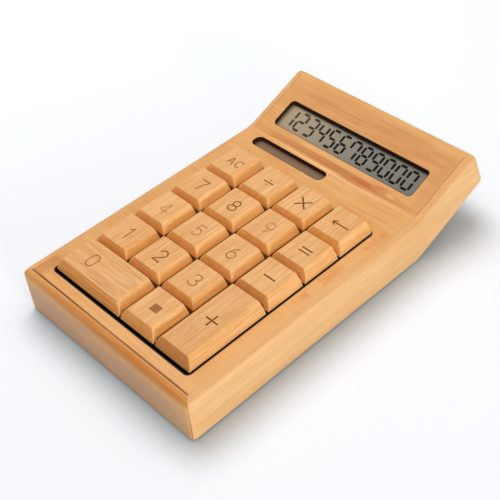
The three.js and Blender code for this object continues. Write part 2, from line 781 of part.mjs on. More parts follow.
// The ribbon's side view: on the glass's ledge, round a loop and down onto the board
function ribbonOutline() {
  const level = boardTop + seatGap;
  const lead = glassBottomDepth + seatGap;
  const onGlass = headPoint(glassFrontS + retainerLedge - 2 * seatGap, lead);
  const offGlass = headPoint(glassFrontS, lead);
  const middleZ = (offGlass[1] + level) / 2;
  const loopY = boardBackY + ribbonSag / 4;
  const path = new THREE.CatmullRomCurve3([
    new THREE.Vector3(onGlass[0], onGlass[1], 0),
    new THREE.Vector3(offGlass[0], offGlass[1], 0),
    new THREE.Vector3(loopY, middleZ, 0),
    new THREE.Vector3(boardBackY - ribbonOnBoard / 2, level + ribbonThickness * 2, 0),
    new THREE.Vector3(boardBackY - ribbonOnBoard, level + ribbonThickness, 0),
  ]);
  const steps = bendSteps * 3;
  const lower = [];
  const upper = [];
  for (let i = 0; i <= steps; i += 1) {
    const point = path.getPoint(i / steps);
    const tangent = path.getTangent(i / steps);
    const offset = ribbonThickness / 2;
    lower.push([point.x - tangent.y * offset, point.y + tangent.x * offset]);
    upper.push([point.x + tangent.y * offset, point.y - tangent.x * offset]);
  }
  return [...lower, ...upper.reverse()];
}

addPiece('display_ribbon', prismX(ribbonOutline(), solarSlotX + solarSlotWidth / 2 + ribbonFromSolarSlot,
  sheetHalf - ribbonFromBoardSide), looks.ribbon);

// Solar cell in its rebate and the two leads down to the board
const solarTop = caseTop - windowLip - seatGap;
const solarBottom = solarTop - solarCellThickness;
const solarHalfX = solarSlotWidth / 2 + solarCellMargin;
const solarHalfY = solarSlotHeight / 2 + solarCellMargin;
addPiece('solar_cell', box(solarSlotX - solarHalfX, solarSlotX + solarHalfX, solarSlotY - solarHalfY,
  solarSlotY + solarHalfY, solarBottom, solarTop), looks.solarGlass);

function lead(x, lean) {
  const top = solarBottom - seatGap;
  const low = boardTop + seatGap;
  const path = new THREE.CatmullRomCurve3([
    new THREE.Vector3(x, solarSlotY, top),
    new THREE.Vector3(x + lean, solarSlotY - leadSpread / 2, (top + low) / 2),
    new THREE.Vector3(x, solarSlotY - leadSpread, low),
  ]);
  const section = new THREE.Shape();
  section.absarc(0, 0, leadRadius, 0, Math.PI * 2, false);
  return solidOf(new THREE.ExtrudeGeometry(section, {
    extrudePath: path, steps: bendSteps, bevelEnabled: false, curveSegments: bendSteps,
  }));
}

addPiece('solar_lead_positive', lead(solarSlotX - solarHalfX + leadInset, leadSpread), looks.redLead);
addPiece('solar_lead_negative', lead(solarSlotX + solarHalfX - leadInset, -leadSpread), looks.blackLead);

// Button cell in its holder, two contacts and the twist cap
addPiece('button_cell', turned([[0, cellLow], [cellRadius, cellLow], [cellRadius, cellHigh - cellLipHeight],
  [cellRadius - cellLipWidth, cellHigh], [0, cellHigh]], batteryX, batteryY), looks.steel);

function holder() {
  const inner = cellRadius + seatGap;
  const outer = inner + holderWall;
  const ringLow = capNeckTop + seatGap * 2;
  const ring = cylinder(batteryX, batteryY, outer, ringLow, boardBottom - seatGap)
    .subtract(cylinder(batteryX, batteryY, inner, ringLow - overrun, boardBottom));
  const slot = contactWidth / 2 + seatGap;
  return ring
    .subtract(box(batteryX, batteryX + outer + overrun, batteryY - slot, batteryY + slot, ringLow - overrun,
      boardBottom));
}

addPiece('battery_holder', holder(), looks.blackPlastic);

function positiveContact() {
  const near = batteryX + cellRadius + seatGap;
  const high = boardBottom - seatGap;
  const low = cellLow + cellHeight / 4;
  const half = contactWidth / 2;
  const leg = box(near, near + contactThickness, batteryY - half, batteryY + half, low, high);
  const foot = box(near, near + contactFoot, batteryY - half, batteryY + half, high - contactThickness, high);
  return leg.add(foot);
}

function negativeContact() {
  const half = contactWidth / 2;
  const high = boardBottom - seatGap;
  const leaf = box(batteryX - cellRadius / 2, batteryX + cellRadius / 2, batteryY - half, batteryY + half,
    negativeLow, negativeLow + contactThickness);
  const foot = box(batteryX - cellRadius / 2, batteryX - cellRadius / 2 + contactThickness, batteryY - half,
    batteryY + half, negativeLow, high);
  return leaf.add(foot);
}

addPiece('battery_positive_contact', positiveContact(), looks.steel);
addPiece('battery_negative_contact', negativeContact(), looks.steel);

function batteryCap() {
  const neck = cylinder(0, 0, capNeckRadius, caseBottom + coinSlotDepth, capNeckTop);
  const disc = cylinder(0, 0, capRadius, caseBottom, baseInside);
  const lugLow = baseInside + seatGap;
  const lugs = lugBar(lugRadius, capLugWidth, lugLow, lugLow + capLugThickness);
  const slot = box(-coinSlotLength / 2, coinSlotLength / 2, -coinSlotWidth / 2, coinSlotWidth / 2,
    caseBottom - overrun, caseBottom + coinSlotDepth);
  return moved(disc.add(neck).add(lugs).subtract(slot), batteryX, batteryY);
}

addPiece('battery_cap', batteryCap(), looks.blackPlastic);

// Feet
const footNames = ['foot_front_left', 'foot_front_right', 'foot_back_left', 'foot_back_right'];
footPlaces.forEach(([x, y], i) => {
  const top = caseBottom + footSeat - seatGap;
  addPiece(footNames[i], cylinder(x, y, footRadius, 0, top), looks.rubber);
});

// Screws
baseScrewPlaces.forEach(([x, y], i) => {
  const solid = countersunkScrew(baseScrew, baseThickness + seatGap + bossBite, caseBottom);
  addPiece(`base_screw_${i + 1}`, moved(solid, x, y), looks.steel);
});
[-1, 1].forEach((side, i) => {
  const solid = countersunkScrew(baseScrew, baseThickness + seatGap + headBaseBite, 0);
  addPiece(`head_base_screw_${i + 1}`, onUnderside(moved(solid, side * headBaseScrewX, 0), headBaseScrewS),
    looks.steel);
});
boardScrewPlaces.forEach(([x, y], i) => {
  const level = boardBottom - seatGap - screw.headHeight;
  const solid = screwUp(screw, boardTop + seatGap + panelBite - level, level);
  addPiece(`board_screw_${i + 1}`, moved(solid, x, y), looks.steel);
});
guideScrewYs.flatMap((y) => [[-guideScrewX, y], [guideScrewX, y]]).forEach(([x, y], i) => {
  const level = guideBottom - seatGap - screw.headHeight;
  const solid = screwUp(screw, panelUnderside + panelBite - level, level);
  addPiece(`guide_screw_${i + 1}`, moved(solid, x, y), looks.steel);
});
[-1, 1].forEach((side, i) => {
  const level = -retainerBottom - seatGap - screw.headHeight;
  const solid = screwUp(screw, panelBite - panelWall - level, level);
  addPiece(`retainer_screw_${i + 1}`, inHead(moved(solid, side * retainerScrewX, 0), retainerScrewS), looks.steel);
});

export default calculator;
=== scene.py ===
import math

import bpy
import numpy as np
from mathutils import Matrix, Vector


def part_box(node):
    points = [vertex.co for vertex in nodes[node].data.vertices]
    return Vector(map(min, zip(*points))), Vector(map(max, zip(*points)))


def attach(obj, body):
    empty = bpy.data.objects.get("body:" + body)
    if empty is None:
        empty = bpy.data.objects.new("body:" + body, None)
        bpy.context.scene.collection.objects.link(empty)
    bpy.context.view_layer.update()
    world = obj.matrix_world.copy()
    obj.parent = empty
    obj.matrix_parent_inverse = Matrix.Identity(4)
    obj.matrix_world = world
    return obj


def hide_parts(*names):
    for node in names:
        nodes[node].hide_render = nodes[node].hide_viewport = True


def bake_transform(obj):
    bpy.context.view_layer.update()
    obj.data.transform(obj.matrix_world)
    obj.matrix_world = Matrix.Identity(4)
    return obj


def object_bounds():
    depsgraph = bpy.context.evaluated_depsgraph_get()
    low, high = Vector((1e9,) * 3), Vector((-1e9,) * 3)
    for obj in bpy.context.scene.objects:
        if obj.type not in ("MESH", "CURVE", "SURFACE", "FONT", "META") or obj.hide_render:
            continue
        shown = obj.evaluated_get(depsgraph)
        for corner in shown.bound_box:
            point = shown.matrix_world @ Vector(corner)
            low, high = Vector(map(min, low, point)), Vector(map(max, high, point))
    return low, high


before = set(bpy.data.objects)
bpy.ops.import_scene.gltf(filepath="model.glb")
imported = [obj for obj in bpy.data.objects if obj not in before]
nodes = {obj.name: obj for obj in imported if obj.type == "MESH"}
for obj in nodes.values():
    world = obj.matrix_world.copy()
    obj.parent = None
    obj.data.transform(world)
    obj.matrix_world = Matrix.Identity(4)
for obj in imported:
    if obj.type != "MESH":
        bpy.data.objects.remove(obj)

# A bamboo desk calculator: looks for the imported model, in metres, in its own frame.
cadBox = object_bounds()
scene = bpy.context.scene
mm = 0.001
inMm = (1000, 1000, 1000)  # scale of a pattern that is measured in mm
onPlane = 0.01  # mm within which a point counts as on a plane
tiny = 1e-12
fineRelief = 0.1 * mm

# Places that the pieces share with the model, in mm
case = {
    "halfWidth": 53.0,
    "innerHalf": 49.5,
    "wall": 3.5,
    "seam": 0.3,
    "top": 23.0,
    "bottom": 1.0,
    "frontY": -88.467,
    "creaseY": 45.533,
    "bendY": 44.533,
    "headTilt": math.radians(21.5),
    "underTilt": math.radians(22.95),
    "headLength": 38.7,
    "pitch": (21.3, 20.9),
}
alongHead = np.array([0, math.cos(case["headTilt"]), math.sin(case["headTilt"])])


def headPoint(s, n):
    # Point on the tilted head: s along its face from the crease, n below the face.
    tilt = case["headTilt"]
    y = case["creaseY"] + s * math.cos(tilt) + n * math.sin(tilt)
    z = case["top"] + s * math.sin(tilt) - n * math.cos(tilt)
    return y, z


def headPlace(points):
    # How far points lie along the head's face from the crease, and how deep below it.
    tilt, y, z = case["headTilt"], points[:, 1] - case["creaseY"], points[:, 2] - case["top"]
    return y * math.cos(tilt) + z * math.sin(tilt), y * math.sin(tilt) - z * math.cos(tilt)


def linearColour(hexText):
    # Each sRGB channel is undone by the sRGB curve: a straight foot, then a power of 2.4.
    channels = [int(hexText[i:i + 2], 16) / 255 for i in (0, 2, 4)]
    return tuple(c / 12.92 if c <= 0.04045 else ((c + 0.055) / 1.055) ** 2.4 for c in channels) + (1.0,)


def addNode(tree, kind, inputs=None, **settings):
    # One shader node. Each input is a number, a hex colour, another node or one of its outputs.
    node = tree.nodes.new("ShaderNode" + kind)
    for name, value in settings.items():
        setattr(node, name, value)
    for socket, value in (inputs or {}).items():
        if isinstance(value, bpy.types.Node):
            value = value.outputs[0]
        if isinstance(value, bpy.types.NodeSocket):
            tree.links.new(value, node.inputs[socket])
        elif isinstance(value, str):
            node.inputs[socket].default_value = linearColour(value)
        else:
            node.inputs[socket].default_value = value
    return node


def laidOver(tree, under, over, source, start, end, share=1.0, blend="MIX"):
    # One colour over another: none of it where the source is at start, all of its share where it is at end.
    amount = addNode(tree, "MapRange", {"Value": source, "From Min": start, "From Max": end, "To Max": share},
                     interpolation_type="SMOOTHSTEP")
    return addNode(tree, "Mix", {0: amount, 6: under, 7: over}, data_type="RGBA", blend_type=blend).outputs[2]


def newMaterial(name):
    # An empty node material, its tree and the coordinates that its patterns follow.
    made = bpy.data.materials.new(name)
    made.use_nodes = True
    made.node_tree.nodes.clear()
    return made, made.node_tree, addNode(made.node_tree, "TexCoord").outputs


def meshPiece(name, points, faces, body=None, material=None, smooth=True):
    # A new piece from points in mm, riding on one body if one is named.
    mesh = bpy.data.meshes.new(name)
    mesh.from_pydata((np.asarray(points, float) * mm).tolist(), [], [list(map(int, f)) for f in faces])
    mesh.update()
    mesh.polygons.foreach_set("use_smooth", np.full(len(mesh.polygons), smooth))
    piece = bpy.data.objects.new(name, mesh)
    scene.collection.objects.link(piece)
    if material:
        mesh.materials.append(material)
    if body:
        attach(piece, body)
    return piece


# Camera at the photograph's angle
cameraLook = {
    "eye": (0.25046, -0.217521, 0.317254),
    "right": (0.69342, 0.71683, -0.07294),
    "up": (-0.45673, 0.51558, 0.72497),
    "lens": 73.645,
}
cameraData = bpy.data.cameras.new("studio_camera")
cameraData.lens = cameraLook["lens"]
camera = bpy.data.objects.new("studio_camera", cameraData)
right = np.array(cameraLook["right"])
up = np.array(cameraLook["up"])
turn = Matrix(np.column_stack([right, up, np.cross(right, up)]).tolist()).to_4x4()
camera.matrix_world = Matrix.Translation(cameraLook["eye"]) @ turn
scene.collection.objects.link(camera)
scene.camera = camera
print("camera set")

# Studio: a pale floor, half its side in mm, in a white room, a soft light nearly overhead and a low one
# from the right. contact is how far from the case, in metres, the floor is painted with a grey shadow.
studio = {
    "floorHalf": 4000,
    "room": 0.5,
    "contact": 0.025,
    "paintedShadowColour": "ccdbe4",
    "lights": {
        "light_top": {"place": (-0.37, 0.18, 0.93), "size": 0.75, "power": 6.6, "colour": "ffffff"},
        "light_right": {"place": (0.95, -0.22, 0.2), "size": 0.36, "power": 4.6, "colour": "fff8ee"},
    },
}
scene.view_settings.view_transform = "Standard"
world = bpy.data.worlds.new("white_room")
world.use_nodes = True
world.node_tree.nodes.clear()
roomLight = addNode(world.node_tree, "Background", {"Color": "ffffff", "Strength": studio["room"]})
addNode(world.node_tree, "OutputWorld", {"Surface": roomLight})
scene.world = world
for name, light in studio["lights"].items():
    lamp = bpy.data.lights.new(name, "AREA")
    lamp.shape = "DISK"
    lamp.size = light["size"]
    lamp.energy = light["power"]
    lamp.color = linearColour(light["colour"])[:3]
    holder = bpy.data.objects.new(name, lamp)
    holder.location = light["place"]
    holder.rotation_euler = (-Vector(light["place"])).to_track_quat("-Z", "Y").to_euler()
    scene.collection.objects.link(holder)

# White painted board. Close to the case it takes a painted cool grey shadow, darker the nearer the case
# is, which also evens out the warm light from the wood.
floorMaterial, tree, place = newMaterial("painted_floor_board")
cloud = addNode(tree, "TexNoise", {"Vector": place["Generated"], "Scale": 3.0, "Detail": 2.0})
tone = addNode(tree, "Mix", {0: cloud, 6: "f0f3f8", 7: "f2f5fa"}, data_type="RGBA").outputs[2]
openness = addNode(tree, "AmbientOcclusion", {"Distance": studio["contact"]}, samples=16).outputs["AO"]
# Painted shadow: the floor turns grey as the case comes near.
paintedShadowShare = addNode(tree, "MapRange", {"Value": openness, "From Min": 0.98, "From Max": 0.5})
tone = addNode(tree, "Mix", {0: paintedShadowShare, 6: tone, 7: studio["paintedShadowColour"]}, data_type="RGBA").outputs[2]
paint = addNode(tree, "BsdfPrincipled", {"Base Color": tone, "Roughness": 0.9, "Specular IOR Level": 0.2})
addNode(tree, "OutputMaterial", {"Surface": paint})
h = studio["floorHalf"]
floor = meshPiece("floor", [(-h, -h, 0), (h, -h, 0), (h, h, 0), (-h, h, 0)], [(0, 1, 2, 3)],
                  material=floorMaterial, smooth=False)
print("studio set")


# Bamboo, laminated in strips and lacquered satin: long fine fibres along the grain, strips of slightly
# different tone, short brown vessel dashes, and darker end grain, which drinks more lacquer.
def bamboo(name, look, grain):
    made, tree, place = newMaterial(name)
    plank = addNode(tree, "Attribute", attribute_name="plank").outputs["Fac"]
    turn = math.pi / 2 if grain == "Y" else 0
    turned = addNode(tree, "Mapping", {"Vector": place["Object"], "Rotation": (0, 0, turn), "Scale": inMm})

    def streaks(length, width):
        # Noise stretched along the grain: one patch is about length by width, in mm.
        stretched = addNode(tree, "Mapping", {"Vector": turned, "Scale": (1 / length, 1 / width, 1 / width)})
        return addNode(tree, "TexNoise",
                       {"Vector": stretched, "W": plank, "Scale": 1.0, "Detail": 3.0, "Roughness": 0.6},
                       noise_dimensions="4D").outputs[0]

    colour = look["base"]
    for layerColour, size, start, end, share in look["layers"].values():
        colour = laidOver(tree, colour, layerColour, streaks(*size), start, end, share)
    for markColour, centre, half, size, start, end, share in look.get("marks", {}).values():
        near = addNode(tree, "Mapping",
                       {"Vector": place["Object"], "Location": [-c / h for c, h in zip(centre, half)],
                        "Scale": [1 / (h * mm) for h in half]})
        away = addNode(tree, "VectorMath", {0: near}, operation="LENGTH").outputs["Value"]
        marked = laidOver(tree, colour, markColour, streaks(*size), start, end)
        colour = laidOver(tree, colour, marked, away, 1.0, look["markFull"], share)
    # Each opening gets a dark rim: charred by the laser, and drawn wide enough to be painted shade at the
    # edge of the gap too.
    for centre, tilt, half, corner, width in look.get("openings", {}).values():
        # Distance to a rounded rectangle: the point is folded into one quarter, and measured from the
        # middle of the corner's round.
        turnedCentre = Matrix.Rotation(-tilt, 3, "X") @ Vector(centre)
        near = addNode(tree, "Mapping", {"Vector": place["Object"], "Location": -turnedCentre,
                                         "Rotation": (-tilt, 0, 0), "Scale": inMm})
        folded = addNode(tree, "VectorMath", {0: near}, operation="ABSOLUTE")
        cornerMiddle = (half[0] - corner, half[1] - corner, look["charAndShadeDepth"])
        past = addNode(tree, "VectorMath", {0: folded, 1: cornerMiddle}, operation="SUBTRACT")
        outside = addNode(tree, "VectorMath", {0: past, 1: (0, 0, 0)}, operation="MAXIMUM")
        away = addNode(tree, "VectorMath", {0: outside}, operation="LENGTH").outputs["Value"]
        colour = laidOver(tree, colour, look["charAndShade"], away, corner + width,
                          corner + width * look["charAndShadeSolid"], look["charAndShadeShare"])
    # Painted light: each face is tinted by the way it faces, standing in for how the lamps light it.
    facing = addNode(tree, "SeparateXYZ", {"Vector": place["Normal"]}).outputs
    for axis, tint, start, end in look["facing"].values():
        turnedTo = addNode(tree, "Math", {0: facing[axis]}, operation="ABSOLUTE")
        colour = laidOver(tree, colour, (*tint, 1.0), turnedTo, start, end, blend="MULTIPLY")
    shine = look["specular"]
    if "burnAndGapShade" in look:
        # Only on keys: painted light on the flanks between them, a darker tone per key and painted shade on
        # fronts, the burnt legend with painted shade low in the gaps between keys, and black below the
        # case's surface.
        paintedLightBetween, shade, burnAndShadeAmount = (addNode(tree, "Attribute", attribute_name=name).outputs["Fac"]
                                  for name in ("paintedLightBetween", "shade", "burnAndGapShade"))
        colour = addNode(tree, "Mix", {0: paintedLightBetween, 6: colour, 7: (*look["paintedLightBetween"], 1.0)},
                         data_type="RGBA", blend_type="MULTIPLY").outputs[2]
        colour = addNode(tree, "Mix", {0: shade, 6: colour, 7: look["shade"]}, data_type="RGBA").outputs[2]
        colour = laidOver(tree, colour, look["burnAndGapShade"], burnAndShadeAmount, 0.1, 0.9, look["burnAndGapShadeShare"])
        shine = addNode(tree, "MapRange", {"Value": burnAndShadeAmount, "From Max": 0.6, "To Min": shine, "To Max": 0.0})
        height = addNode(tree, "SeparateXYZ", {"Vector": place["Object"]}).outputs["Z"]
        level, soft = look["hiddenBelow"]
        colour = laidOver(tree, colour, look["hidden"], height, (level + soft) * mm, (level - soft) * mm)
    fibre = streaks(*look["fibre"])
    relief = addNode(tree, "Bump", {"Height": fibre, "Strength": look["relief"], "Distance": fineRelief})
    smoothest, roughest = look["rough"]
    sheen = addNode(tree, "MapRange", {"Value": fibre, "From Min": 0.3, "From Max": 0.7,
                                       "To Min": smoothest, "To Max": roughest})
    wood = addNode(tree, "BsdfPrincipled", {"Base Color": colour, "Roughness": sheen, "Normal": relief,
                                            "IOR": 1.5, "Specular IOR Level": shine})
    addNode(tree, "OutputMaterial", {"Surface": wood})
    return made


# Each layer: colour, length and width of its patches in mm, the noise values where it starts and is full,
# share. Each mark has its centre and half size in mm after the colour. Each facing is painted light or shade
# by the way a face turns: axis, how strong red, green and blue are there, the normal's lengths along the axis
# where it starts and is full. Each opening: centre, tilt, half size, corner and width of its rim, which is
# charred and also painted shade.
caseWood = {
    "base": "dfa868",
    "layers": {
        "strips": ("d79c5e", (70, 2.2), 0.35, 0.65, 0.7),
        "broad_patches": ("d3914f", (45, 16), 0.42, 0.66, 0.6),
        "pale_streaks": ("eebb82", (24, 0.9), 0.5, 0.72, 0.5),
        "fibres": ("b9783e", (16, 0.5), 0.48, 0.74, 0.5),
        "dashes": ("a05c28", (7, 0.42), 0.62, 0.74, 0.45),
    },
    "markFull": 0.3,
    "facing": {},
    "fibre": (14, 0.4),
    "relief": 0.25,
    "rough": (0.44, 0.58),
    "specular": 0.15,
}
# Side panels: paler and yellower than the top, partly their own tone and partly a painted sheen of the low
# light from the right. Their upward faces are painted darker again, and their outer faces a little darker.
sideWood = {
    **caseWood,
    "base": "efc28a",
    "layers": {
        "strips": ("e2b37c", (80, 2.6), 0.35, 0.65, 0.6),
        "broad_patches": ("e0ab6e", (50, 10), 0.42, 0.66, 0.5),
        "pale_streaks": ("f0c795", (30, 1.0), 0.5, 0.72, 0.5),
        "fibres": ("c48d55", (22, 0.6), 0.5, 0.74, 0.35),
        "dashes": ("aa6c38", (9, 0.45), 0.62, 0.74, 0.25),
    },
    "facing": {
        "upper_face": ("Z", (0.86, 0.76, 0.66), 0.3, 0.8),
        "outer_face": ("X", (0.94, 0.93, 0.92), 0.8, 0.97),
    },
}
topMarks = {
    "head_tone": ("c4844a", (0, 68, 34), (90, 17, 14), (30, 10), 0.2, 0.5, 0.5),
    "head_lines": ("ae6a30", (0, 68, 34), (90, 15, 14), (40, 0.7), 0.5, 0.66, 0.6),
    "head_right": ("c98c52", (47, 62, 30), (7, 22, 16), (12, 8), 0.2, 0.5, 0.6),
    "front_seam": ("5c280c", (0, -84.97, 23), (200, 0.62, 4), (20, 3), 0.0, 0.2, 0.97),
    "front_light": ("f0bf86", (5, -82, 23), (60, 5, 2), (30, 3), 0.3, 0.6, 0.45),
    "under_window": ("efbb80", (5, 44, 23), (60, 7, 8), (40, 6), 0.3, 0.6, 0.2),
    "strip_tone": ("cf8843", (0, 46.6, 24), (70, 2.4, 4), (60, 1.2), 0.36, 0.5, 0.8),
    "strip_lines": ("b26c32", (0, 46.9, 24), (70, 3.0, 4), (60, 0.7), 0.38, 0.54, 0.85),
    "strip_light": ("f8ca90", (0, 44.0, 24), (60, 1.5, 4), (40, 0.9), 0.42, 0.58, 0.7),
    "knot": ("b8621f", (18, 47.1, 24), (9, 1.9, 6), (7, 0.7), 0.34, 0.46, 0.85),
    "knot_upper": ("c06c28", (28, 48.7, 24.5), (6, 1.7, 6), (6, 0.7), 0.38, 0.5, 0.7),
    "knot_light": ("fbc88e", (33.5, 47.7, 24.5), (3.4, 1.3, 5), (4, 0.8), 0.3, 0.5, 0.45),
    "crease_streaks": ("b06a32", (14, 44.6, 23), (12, 1.0, 4), (8, 0.5), 0.42, 0.56, 0.6),
    "margin_calm": ("e5ac6c", (48, -20, 23), (7, 90, 4), (40, 40), 0.0, 0.01, 0.6),
    "margin_patch": ("cf8440", (46.5, -12, 23), (3.5, 22, 3), (7, 5.0), 0.4, 0.6, 0.6),
    "margin_patch_2": ("cf8440", (47, 24, 23), (3.5, 14, 3), (7, 5.0), 0.4, 0.6, 0.6),
    "corner_shade": ("b9763a", (-47, -80, 23), (6, 12, 3), (20, 9.0), 0.3, 0.5, 0.6),
}
topOpenings = {
    "well": ((0, -26.617, 23), 0.0, (42.9, 52.65), 2.0, 0.5),
    "slot": ((-20.2, 39.133, 23), 0.0, (22.1, 3.25), 2.6, 0.25),
    "window": ((-0.5, *headPoint(14.1, 0)), case["headTilt"], (41.8, 7.5), 2.0, 0.25),
}
topWood = {
    **caseWood,
    "marks": topMarks,
    "openings": topOpenings,
    # The rim round the openings: laser char, and painted shade at their edges.
    "charAndShade": "2b1007",
    "charAndShadeSolid": 0.7,
    "charAndShadeShare": 0.94,
    "charAndShadeDepth": 1.0,
}
# Front panel: a darker orange rim on its top edge, and a painted grey shade over the middle of its face,
# which is also painted paler and cooler, as a face turned away from the lamps.
frontMarks = {
    "front_seam": topMarks["front_seam"],
    "rim": ("c87a34", (14, -88.4, 22.2), (90, 4.6, 4.8), (45, 2.2), 0.2, 0.55, 0.95),
    "grey_painted_shade": ("bb8f71", (-6, -88.5, 8.5), (105, 5, 16), (30, 9.0), 0.2, 0.5, 0.9),
}
frontWood = {
    **caseWood,
    "marks": frontMarks,
    "facing": {"front_face": ("Y", (1.12, 1.2, 1.24), 0.8, 0.98)},
}
keyWood = {
    **caseWood,
    "base": "e5b076",
    "layers": {
        "strips": ("dba266", (50, 1.7), 0.36, 0.64, 0.9),
        "broad_patches": ("da9b5c", (24, 8), 0.42, 0.68, 0.5),
        "pale_streaks": ("f5ca93", (12, 0.6), 0.5, 0.7, 0.6),
        "fibres": ("bf7f42", (11, 0.45), 0.46, 0.72, 0.6),
        "dashes": ("a5622c", (5, 0.34), 0.62, 0.72, 0.55),
    },
    # Painted light: shoulders paler, and ends redder, partly end grain and partly painted light bounced
    # between the keys.
    "facing": {
        "shoulder": ("X", (1.13, 1.17, 1.17), 0.3, 0.7),
        "end_grain_and_bounce_light": ("Y", (1.16, 1.02, 0.74), 0.72, 0.9),
    },
    # Painted light: the flanks between keys are tinted lighter, more the deeper they fall.
    "paintedLightBetween": (1.36, 1.42, 1.14),
    "shade": "b8763f",
    # The legend's burnt colour, also laid as painted shade low in the gaps between keys.
    "burnAndGapShade": "6a3210",
    "burnAndGapShadeShare": 0.9,
    "hidden": "0c0a09",
    "hiddenBelow": (22.98, 0.04),
}
wideKeyWood = {
    **keyWood,
    "layers": {**keyWood["layers"], "dashes": ("a05a26", (20, 0.36), 0.53, 0.66, 0.6)},
}
topBamboo = bamboo("lacquered_bamboo_top", topWood, "X")
baseBamboo = bamboo("lacquered_bamboo_base", caseWood, "Y")
sideBamboo = bamboo("lacquered_bamboo_side", sideWood, "Y")
frontBamboo = bamboo("lacquered_bamboo_front", frontWood, "X")
backBamboo = bamboo("lacquered_bamboo_back", caseWood, "X")
keyBamboo = bamboo("lacquered_bamboo_key", keyWood, "Y")
wideKeyBamboo = bamboo("lacquered_bamboo_wide_key", wideKeyWood, "X")

# Bamboo cut by a laser: the walls of the openings are charred brown to black, in upright streaks 0.4 mm wide
# and 4 mm long.
charred, tree, place = newMaterial("laser_charred_bamboo")
upright = addNode(tree, "Mapping", {"Vector": place["Object"], "Scale": (2500, 2500, 250)})
char = addNode(tree, "TexNoise", {"Vector": upright, "Scale": 1.0, "Detail": 3.0})
tone = addNode(tree, "Mix", {0: char, 6: "190b05", 7: "482611"}, data_type="RGBA").outputs[2]
wall = addNode(tree, "BsdfPrincipled", {"Base Color": tone, "Roughness": 0.8, "Specular IOR Level": 0.2})
addNode(tree, "OutputMaterial", {"Surface": wall})


def mergedMesh(node):
    # A CAD mesh as points in mm and triangles, with its doubled points merged.
    source = nodes[node].data
    points = np.zeros(len(source.vertices) * 3)
    source.vertices.foreach_get("co", points)
    corners = np.zeros(len(source.loops), int)
    source.loops.foreach_get("vertex_index", corners)
    merged, index = np.unique(points.reshape(-1, 3).round(7), axis=0, return_inverse=True)
    triangles = index.ravel()[corners].reshape(-1, 3)
    whole = (triangles[:, 0] != triangles[:, 1]) & (triangles[:, 1] != triangles[:, 2])
    whole &= triangles[:, 0] != triangles[:, 2]
    return merged / mm, triangles[whole]


# Edges of the case panels, in mm and degrees
panelEdge = {
    "bottomRound": 0.9,
    "bottomReach": 0.4,
    "steps": 3,
    "sharpShare": 0.14,
    "sharpFrom": 40.0,
    "shadedSharpFrom": 30.0,
    "glue": 0.0,
    "headGlue": 0.2,
    "openings": ((-45, 45), (-80, 72)),
    "wallUp": 0.5,
}


def seamPlanes(points):
    # Whether each point lies on each of the planes where the panels are glued together.
    x, y, s = np.abs(points[:, 0]), points[:, 1], headPlace(points)[0]
    inner, seam, slant = case["innerHalf"], case["seam"], case["seam"] * math.sqrt(2)
    front, back = case["halfWidth"] + case["frontY"], case["halfWidth"] - case["headLength"]
    end = case["headLength"] - case["wall"]
    distances = [x - inner, x - inner + seam, x + y - front, x + y - front - slant, x - s - back,
                 x - s - back - slant, s - end, s - end + seam]
    return np.abs(np.column_stack(distances)) < onPlane


def nearOpenings(points):
    # Whether points lie in the middle of the case, where the well, the slot and the window are.
    (left, right), (front, back) = panelEdge["openings"]
    x, y = points[:, 0], points[:, 1]
    return (x > left) & (x < right) & (y > front) & (y < back)


def faceNormals(corners):
    # The cross product of two sides of each triangle, one long.
    normals = np.cross(corners[:, 1] - corners[:, 0], corners[:, 2] - corners[:, 0])
    return normals / np.maximum(np.linalg.norm(normals, axis=1, keepdims=True), tiny)


def edgeShares(mesh, points, triangles):
    # How much of the widest rounding each edge gets: all on the outer bottom edges, a little on other sharp
    # edges, none on glued seams nor round the openings, which a laser leaves crisp. An edge is sharp where
    # the normals of its two faces, added up, are short.
    normals = faceNormals(points[triangles])
    ofLoop = np.zeros(len(mesh.loops), int)
    mesh.loops.foreach_get("edge_index", ofLoop)
    total = np.zeros((len(mesh.edges), 3))
    np.add.at(total, ofLoop, np.repeat(normals, 3, axis=0))
    ends = np.zeros(len(mesh.edges) * 2, int)
    mesh.edges.foreach_get("vertices", ends)
    ends = ends.reshape(-1, 2)
    sharp = np.linalg.norm(total, axis=1) < 2 * math.cos(math.radians(panelEdge["sharpFrom"] / 2))
    x, y, z = np.abs(points[:, 0]), points[:, 1], points[:, 2]
    underside = case["bottom"] + np.maximum(y - case["bendY"], 0) * math.tan(case["underTilt"])
    outer = (x > case["innerHalf"] + panelEdge["bottomRound"]) | (np.abs(y) > -case["frontY"] - case["seam"])
    bottom = outer & (z - underside < panelEdge["bottomReach"])
    onSeam = seamPlanes(points)
    shares = np.where(sharp, panelEdge["sharpShare"], 0.0)
    shares[sharp & bottom[ends].all(axis=1)] = 1.0
    shares[(onSeam[ends[:, 0]] & onSeam[ends[:, 1]]).any(axis=1)] = 0.0
    shares[nearOpenings(points)[ends].all(axis=1)] = 0.0
    return shares


